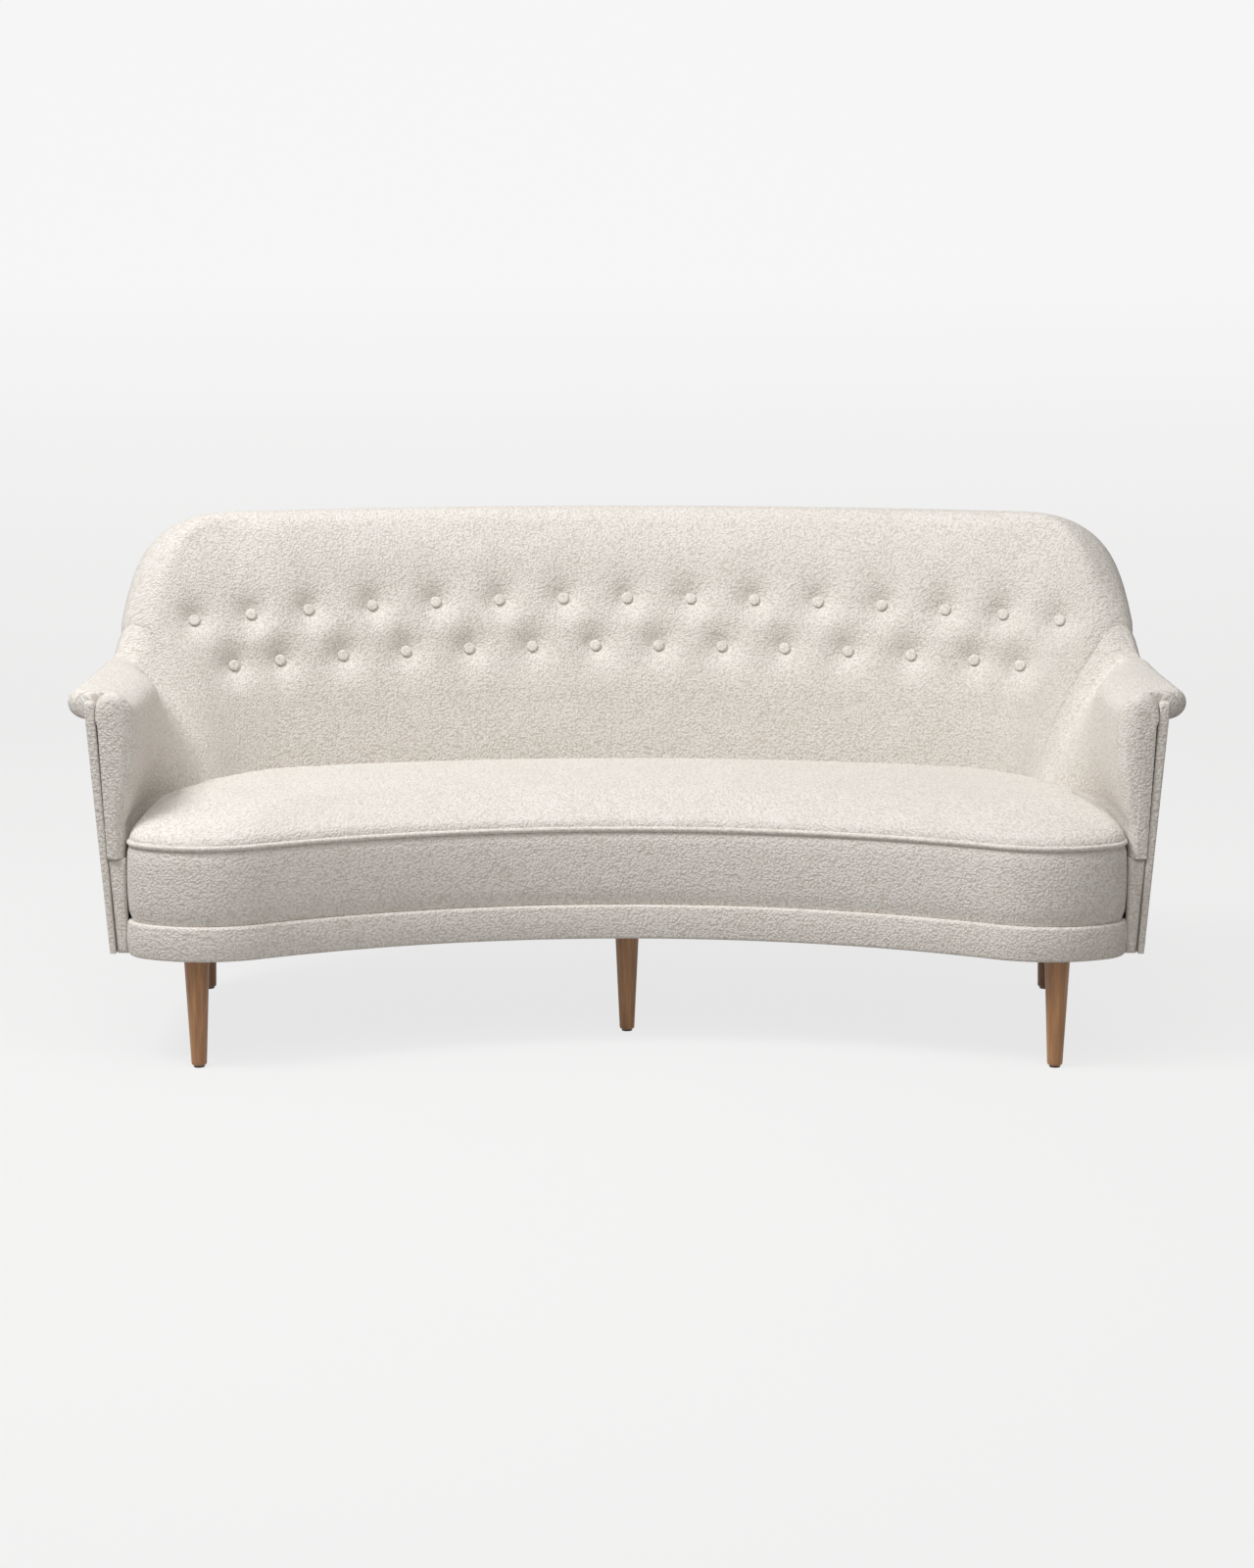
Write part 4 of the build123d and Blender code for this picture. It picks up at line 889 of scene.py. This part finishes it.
class SOFA_OT_arms(bpy.types.Operator):
    """Arm covers from the back's seam to the rounded front, with the roll along the top"""
    bl_idname = "sofa.arms"
    bl_label = "Arms"

    def execute(self, context):
        shape = context.scene.sofa_shape
        for side_name, side in SIDES:
            rings = []
            for station, gap in arm_stations(side, ARM_FRONT + 0.0006):
                near = 1.0 if station.y < PAD_FRONT else 0.0
                foot_in = mix((ARM_PAD_IN, strip_in(PAD_BOTTOM) + 0.0006), near)
                step_in = mix((ARM_PAD_IN, strip_in(under_height(station)) + EDGE_RING), near)
                rounding, ear = front_rounding(station.y), ear_share(station.y)
                section = pad_section(station, foot_in, step_in, rounding, ear)
                rings.append(place(station, section, seam_sink(gap, shape.seam_depth)))
            piece = loft_piece(f"arm_cover_{side_name}", loft_mesh(rings, 0.002))
            finish_piece(piece, finishes()["cover cloth"],
                         [f"arm_pad_{side_name}", f"arm_front_pad_{side_name}"])
        return {"FINISHED"}


class SOFA_OT_outside(bpy.types.Operator):
    """Outside panels of the back and the arms, and the flat panels on the lower arm fronts"""
    bl_idname = "sofa.outside"
    bl_label = "Outside panels"

    def execute(self, context):
        shape = context.scene.sofa_shape
        cloth = finishes()["cover cloth"]
        depth = 0.4 * shape.seam_depth
        back = loft_piece("outside_back_cover", panel_mesh(back_stations(), depth))
        finish_piece(back, cloth, ["outside_back_panel"])
        for side_name, side in SIDES:
            panel = panel_mesh(arm_stations(side, STRIP_REAR), depth)
            piece = loft_piece(f"outside_arm_cover_{side_name}", panel, edge_strip(side))
            finish_piece(piece, cloth, [f"outside_arm_panel_{side_name}"])
            node = f"lower_arm_panel_{side_name}"
            low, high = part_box(node)
            bottom, top = low[2], high[2]
            outer, inner = strip_in(top) + 0.0003, ARM_THICKNESS + 0.001
            rings = []
            front = low[1] - 0.011
            for y, inset in ((high[1], 0.0), (front + 0.004, 0.0), (front + 0.001, 0.0010), (front, 0.0034)):
                corners = [(outside(bottom) + outer + inset, bottom + inset), (inner - inset, bottom + inset),
                           (inner - inset, top - inset), (outside(top) + outer + inset, top - inset)]
                outline = []
                for start, end in zip(corners, corners[1:] + corners[:1]):
                    outline += straight(start, end, 12)
                rings.append(place(arm_station(y, side), np.array(outline)))
            lower = loft_piece(f"lower_arm_cover_{side_name}", loft_mesh(rings, 0.001))
            finish_piece(lower, cloth, [node])
        return {"FINISHED"}


def seat_levels(crown):
    """Inset, draw and height of each ring of the seat, up its boxing and over its crown."""
    levels = []
    for share in np.linspace(0, 1, 9):
        tuck = 0.004 * exp(-((share / 0.08) ** 2)) + 0.004 * exp(-(((1 - share) / 0.06) ** 2))
        z = BAND_TOP + (WELT_HEIGHT - BAND_TOP) * share
        levels.append((0.004 - 0.003 * sin(pi * share) + tuck, 0.0, z))
    for step in np.linspace(0, 1, 22):
        rise = 1.55 * step - 0.55 * step**2
        z = WELT_HEIGHT + CROWN_STEP + (crown - CROWN_STEP) * rise
        levels.append((SEAT_INSET, CROWN_DRAW * step**2, z))
    return levels


def bridge(vertices, faces, first, count, rows, swell):
    """Adds rows of faces from a ring's front half across to its rear half."""
    half, quarter = count // 2, count // 4
    columns = []
    for k in range(-quarter + 1, quarter):
        front, rear = first + k % count, first + (half - k) % count
        column = [front]
        for row in range(1, rows):
            w = row / rows
            lift = swell * 4 * w * (1 - w) * (1 - (k / quarter) ** 4)
            point = vertices[front] * (1 - w) + vertices[rear] * w
            vertices.append(point + np.array((0, 0, lift)))
            column.append(len(vertices) - 1)
        columns.append(column + [rear])
    for a, b in zip(columns, columns[1:]):
        for k in range(rows):
            faces.append((a[k], b[k], b[k + 1], a[k + 1]))
    for column, end in ((columns[0], first + count - quarter), (columns[-1], first + quarter)):
        for k in range(rows):
            faces.append((column[k], column[k + 1], end))


class SOFA_OT_seat(bpy.types.Operator):
    """Crowned seat with its boxing, settled as cloth over the foam"""
    bl_idname = "sofa.seat"
    bl_label = "Seat"

    def execute(self, context):
        shape = context.scene.sofa_shape
        rings = []
        for inset, draw, z in seat_levels(shape.seat_crown):
            outline = seat_outline(inset, draw)
            rings.append(np.column_stack([outline, np.full(len(outline), z)]))
        count = len(rings[0])
        vertices = list(np.concatenate(rings))
        faces, uvs = [], []
        run = run_round(rings[0])
        steps = [np.linalg.norm(after[0] - before[0]) for before, after in zip(rings, rings[1:])]
        climb = np.concatenate([[0], np.cumsum(steps)])
        for s in range(len(rings) - 1):
            faces += quads(count, s)
            for p in range(count):
                uvs += [(run[p], climb[s]), (run[p + 1], climb[s])]
                uvs += [(run[p + 1], climb[s + 1]), (run[p], climb[s + 1])]
        ring_faces = len(faces)
        bridge(vertices, faces, (len(rings) - 1) * count, count, 30, 0.007)
        bridge(vertices, faces, 0, count, 1, 0.0)
        for face in faces[ring_faces:]:
            uvs += [(vertices[k][0], vertices[k][1]) for k in face]
        piece = make_object("seat_cover", vertices, faces, uvs)
        points = np.array(vertices)
        free = np.clip((points[:, 2] - WELT_HEIGHT - 0.006) / 0.02, 0, 1)
        settle(piece, free, 2.0, 0.6 * shape.puff_limit, shape.puff_frames)
        finish_piece(piece, finishes()["cover cloth"],
                     ["seat_top_cover", "seat_boxing", "seat_foam"])
        return {"FINISHED"}


class SOFA_OT_band(bpy.types.Operator):
    """Padded band along the foot of the seat's front"""
    bl_idname = "sofa.band"
    bl_label = "Base band"

    def execute(self, context):
        half_height, corner = (BAND_TOP - FLOOR_GAP) / 2, 0.0055
        profile = []
        for out, z, first in ((-1, -1, pi), (1, -1, 1.5 * pi), (1, 1, 0.0), (-1, 1, 0.5 * pi)):
            profile += corner_arc(out * (SEAT_INSET - corner), z * (half_height - corner), corner, first, 6)
        front = straight(profile[11], profile[12], 10)[1:]
        rear = straight(profile[23], profile[0], 6)[1:]
        front = [(out + 0.0016 * sin(pi * (k + 1) / 10), z) for k, (out, z) in enumerate(front)]
        profile = profile[:12] + front + profile[12:] + rear
        curves = []
        for out, z in profile:
            line = whole_front(SEAT_INSET - out)
            curves.append(np.column_stack([line, np.full(len(line), FLOOR_GAP + half_height + z)]))
        rings = list(np.stack(curves, 1))
        piece = loft_piece("band_cover", loft_mesh(rings))
        finish_piece(piece, finishes()["cover cloth"], ["base_band"])
        return {"FINISHED"}


class SOFA_OT_piping(bpy.types.Operator):
    """Covered cord along the seat's front edge, swept by geometry nodes"""
    bl_idname = "sofa.piping"
    bl_label = "Piping"

    def execute(self, context):
        line = whole_front(SEAT_INSET, (0.0, 0.04))
        curve = bpy.data.curves.new("piping_line", "CURVE")
        curve.dimensions = "3D"
        spline = curve.splines.new("POLY")
        spline.points.add(len(line) - 1)
        for point, (x, y) in zip(spline.points, line):
            point.co = (x, y, WELT_HEIGHT, 1.0)
        base = bpy.data.objects.new("piping_line", curve)
        context.scene.collection.objects.link(base)
        sockets = [("Radius", "NodeSocketFloat"), ("Cloth", "NodeSocketMaterial")]
        group, graph, given = nodes_group("piping", sockets)
        ring = graph.node("GeometryNodeCurvePrimitiveCircle", {"Resolution": 14, "Radius": given["Radius"]})
        sweep = graph.node("GeometryNodeCurveToMesh", {
            "Curve": given["Geometry"], "Profile Curve": ring.outputs["Curve"], "Fill Caps": True})
        close_group(graph, sweep.outputs["Mesh"], given["Cloth"])
        cloth = finishes()["button cloth"]
        piece = run_nodes("piping_cover", base, group,
                          {"Radius": context.scene.sofa_shape.piping_radius, "Cloth": cloth})
        finish_piece(piece, cloth, ["seat_piping"])
        return {"FINISHED"}


class SOFA_OT_buttons(bpy.types.Operator):
    """Covered buttons, one placed in each tuft by geometry nodes"""
    bl_idname = "sofa.buttons"
    bl_label = "Buttons"

    def execute(self, context):
        shape = context.scene.sofa_shape
        radius = shape.button_radius
        profile = [(0.0, 0.92), (0.2, 0.99), (0.6, 1.0), (0.78, 0.97), (0.89, 0.9), (0.95, 0.76),
                   (0.985, 0.45)]
        pattern = lathe("button_pattern", [(share, size * radius) for share, size in profile],
                        (0, 0, 0), (0, 0, 0.0052), 24)
        tufts = find_tufts(shape.tuft_pitch)
        mesh = bpy.data.meshes.new("button_places")
        mesh.from_pydata([centre - facing * (shape.tuft_depth - 0.0025) for centre, facing in tufts], [], [])
        facings = mesh.attributes.new("facing", "FLOAT_VECTOR", "POINT")
        for item, (_, facing) in zip(facings.data, tufts):
            item.vector = facing
        base = bpy.data.objects.new("button_places", mesh)
        context.scene.collection.objects.link(base)
        sockets = [("Button", "NodeSocketObject"), ("Cloth", "NodeSocketMaterial")]
        group, graph, given = nodes_group("buttons", sockets)
        info = graph.node("GeometryNodeObjectInfo", {"Object": given["Button"]})
        named = graph.node("GeometryNodeInputNamedAttribute", {"Name": "facing"}, data_type="FLOAT_VECTOR")
        heading = named.outputs["Attribute"]
        turn = graph.node("FunctionNodeAlignRotationToVector", {"Vector": heading}, axis="Z")
        spread = graph.node("GeometryNodeInstanceOnPoints", {
            "Points": given["Geometry"],
            "Instance": info.outputs["Geometry"],
            "Rotation": turn.outputs["Rotation"],
        })
        close_group(graph, spread.outputs["Instances"], given["Cloth"])
        cloth = finishes()["button cloth"]
        piece = run_nodes("button_covers", base, group, {"Button": pattern, "Cloth": cloth})
        bpy.data.objects.remove(pattern)
        finish_piece(piece, cloth, ["back_buttons"])
        return {"FINISHED"}


class SOFA_OT_legs(bpy.types.Operator):
    """Turned legs with a straight taper and a softened foot"""
    bl_idname = "sofa.legs"
    bl_label = "Legs"

    def execute(self, context):
        shape = context.scene.sofa_shape
        length = RAIL_BOTTOM - GLIDE
        for node, (head, foot) in LEGS.items():
            profile = []
            for z in (0.0, 0.0006, 0.0016, 0.003, 0.006, 0.03, 0.07, 0.11, 0.15, 0.178, 0.184, length):
                share = z / length
                radius = shape.leg_foot_radius + (shape.leg_top_radius - shape.leg_foot_radius) * share
                profile.append((share, radius - 0.003 * max(1 - z / 0.003, 0.0) ** 2))
            piece = lathe(f"{node}_turned", profile, (*foot, GLIDE), (*head, RAIL_BOTTOM), 56)
            finish_piece(piece, finishes()["leg walnut"], [node])
        return {"FINISHED"}


class SOFA_OT_frame(bpy.types.Operator):
    """Materials of the solids that stay as they are: frame, springs, straps, lining and glides"""
    bl_idname = "sofa.frame"
    bl_label = "Frame"

    def execute(self, context):
        named = finishes()
        looks = {
            "frame_wood": "frame beech", "leg_wood": "leg walnut", "seat_foam": "cut foam",
            "steel": "steel wire", "jute": "jute", "twine": "waxed twine", "dust_cloth": "lining cloth",
            "glide_plastic": "brown nylon", "cover_fabric": "button cloth",
        }
        slots = {item["node"]: item["material_slot"] for item in frame["record"]["subparts"]}
        for node, solid in NODES.items():
            solid.data.materials.clear()
            solid.data.materials.append(named[looks[slots[node]]])
        return {"FINISHED"}


def area_lamp(name, place_at, target, size, power, colour):
    """Soft square lamp that faces a point."""
    lamp = bpy.data.lights.new(name, "AREA")
    lamp.size = size
    lamp.energy = power
    lamp.color = colour
    holder = bpy.data.objects.new(name, lamp)
    holder.location = place_at
    holder.rotation_euler = (Vector(target) - Vector(place_at)).to_track_quat("-Z", "Y").to_euler()
    bpy.context.scene.collection.objects.link(holder)


class SOFA_OT_stage(bpy.types.Operator):
    """Pale floor that turns up into a backdrop, soft lamps and the camera"""
    bl_idname = "sofa.stage"
    bl_label = "Studio"

    def execute(self, context):
        scene = context.scene
        pale = scene.sofa_finish.floor
        outline = [(-14.0, 0.0), (3.0, 0.0)]
        outline += [(3.0 + 3.0 * sin(a), 3.0 - 3.0 * cos(a)) for a in np.linspace(0, pi / 2, 24)[1:]]
        outline += [(6.0, 12.0)]
        vertices = [(x, y, z) for y, z in outline for x in (-16.0, 16.0)]
        faces = [(2 * k, 2 * k + 1, 2 * k + 3, 2 * k + 2) for k in range(len(outline) - 1)]
        mesh = bpy.data.meshes.new("studio_floor")
        mesh.from_pydata(vertices, [], faces)
        smooth(mesh)
        floor = bpy.data.objects.new("studio_floor", mesh)
        scene.collection.objects.link(floor)
        paper = Finish("studio paper")
        place_at = paper.node("ShaderNodeTexCoord").outputs["Object"]
        grain = paper.noise(place_at, 2.0)
        shades = [tuple(0.985 * c for c in pale), tuple(pale)]
        shade = paper.ramp(grain, [(0.3, shades[0]), (0.7, shades[1])])
        paper.links.new(shade, paper.shader.inputs["Base Color"])
        paper.shader.inputs["Roughness"].default_value = 0.9
        glow = paper.node("ShaderNodeEmission", {"Color": (1.0, 1.0, 1.0, 1.0), "Strength": 1.0})
        height = paper.node("ShaderNodeSeparateXYZ", {0: place_at}).outputs["Z"]
        share = paper.math("MULTIPLY", paper.seen(), paper.node("ShaderNodeMapRange", {
            "Value": height, "From Max": 1.2, "To Min": 0.78, "To Max": 0.90}).outputs["Result"])
        lit = paper.shader.outputs["BSDF"]
        blend = paper.node("ShaderNodeMixShader", {0: share, 1: lit, 2: glow.outputs[0]})
        paper.links.new(blend.outputs[0], paper.nodes["Material Output"].inputs["Surface"])
        mesh.materials.append(paper.material)
        world = bpy.data.worlds.new("studio")
        world.use_nodes = True
        sky = Graph(world.node_tree)
        light = sky.nodes["Background"]
        light.inputs["Color"].default_value = (1.0, 0.945, 0.875, 1.0)
        light.inputs["Strength"].default_value = 0.2
        backdrop = sky.node("ShaderNodeBackground", {"Color": (0.91, 0.91, 0.91, 1.0)})
        blend = sky.node("ShaderNodeMixShader", {0: sky.seen(), 1: light.outputs[0], 2: backdrop.outputs[0]})
        sky.links.new(blend.outputs[0], sky.nodes["World Output"].inputs["Surface"])
        scene.world = world
        area_lamp("key", (-2.5, -1.4, 4.5), (0.0, 0.0, 0.4), 1.6, 168.0, (0.98, 0.99, 1.0))
        area_lamp("top", (0.2, -1.7, 3.4), (0.0, 0.1, 0.5), 2.4, 52.0, (0.98, 0.99, 1.0))
        camera = bpy.data.cameras.new("camera")
        camera.lens = 70.0
        camera.sensor_width = 36.0
        holder = bpy.data.objects.new("camera", camera)
        holder.location = (0.0, -5.2405, 1.329)
        holder.rotation_euler = (radians(80.0), 0.0, 0.0)
        scene.collection.objects.link(holder)
        scene.camera = holder
        scene.view_settings.view_transform = "Standard"
        return {"FINISHED"}


STEPS = (SOFA_OT_stage, SOFA_OT_frame, SOFA_OT_back, SOFA_OT_arms, SOFA_OT_outside, SOFA_OT_seat,
         SOFA_OT_band, SOFA_OT_piping, SOFA_OT_buttons, SOFA_OT_legs)


class SOFA_PT_panel(bpy.types.Panel):
    """Sofa pieces and sizes"""
    bl_label = "Curved sofa"
    bl_idname = "SOFA_PT_panel"
    bl_space_type = "VIEW_3D"
    bl_region_type = "UI"
    bl_category = "Sofa"

    def draw(self, context):
        for group in (context.scene.sofa_shape, context.scene.sofa_finish):
            box = self.layout.box()
            for name in group.bl_rna.properties.keys():
                if name not in ("rna_type", "name"):
                    box.prop(group, name)
        for step in STEPS:
            self.layout.operator(step.bl_idname)


CLASSES = (SofaShape, SofaFinish, *STEPS, SOFA_PT_panel)


def register():
    """Adds the classes and the settings."""
    for item in CLASSES:
        bpy.utils.register_class(item)
    bpy.types.Scene.sofa_shape = PointerProperty(type=SofaShape)
    bpy.types.Scene.sofa_finish = PointerProperty(type=SofaFinish)


def unregister():
    """Takes the settings and the classes away."""
    del bpy.types.Scene.sofa_finish
    del bpy.types.Scene.sofa_shape
    for item in reversed(CLASSES):
        bpy.utils.unregister_class(item)


def main():
    """Makes every piece in order."""
    register()
    bpy.ops.sofa.stage()
    bpy.ops.sofa.frame()
    bpy.ops.sofa.back()
    bpy.ops.sofa.arms()
    bpy.ops.sofa.outside()
    bpy.ops.sofa.seat()
    bpy.ops.sofa.band()
    bpy.ops.sofa.piping()
    bpy.ops.sofa.buttons()
    bpy.ops.sofa.legs()


if __name__ == "__main__":
    main()
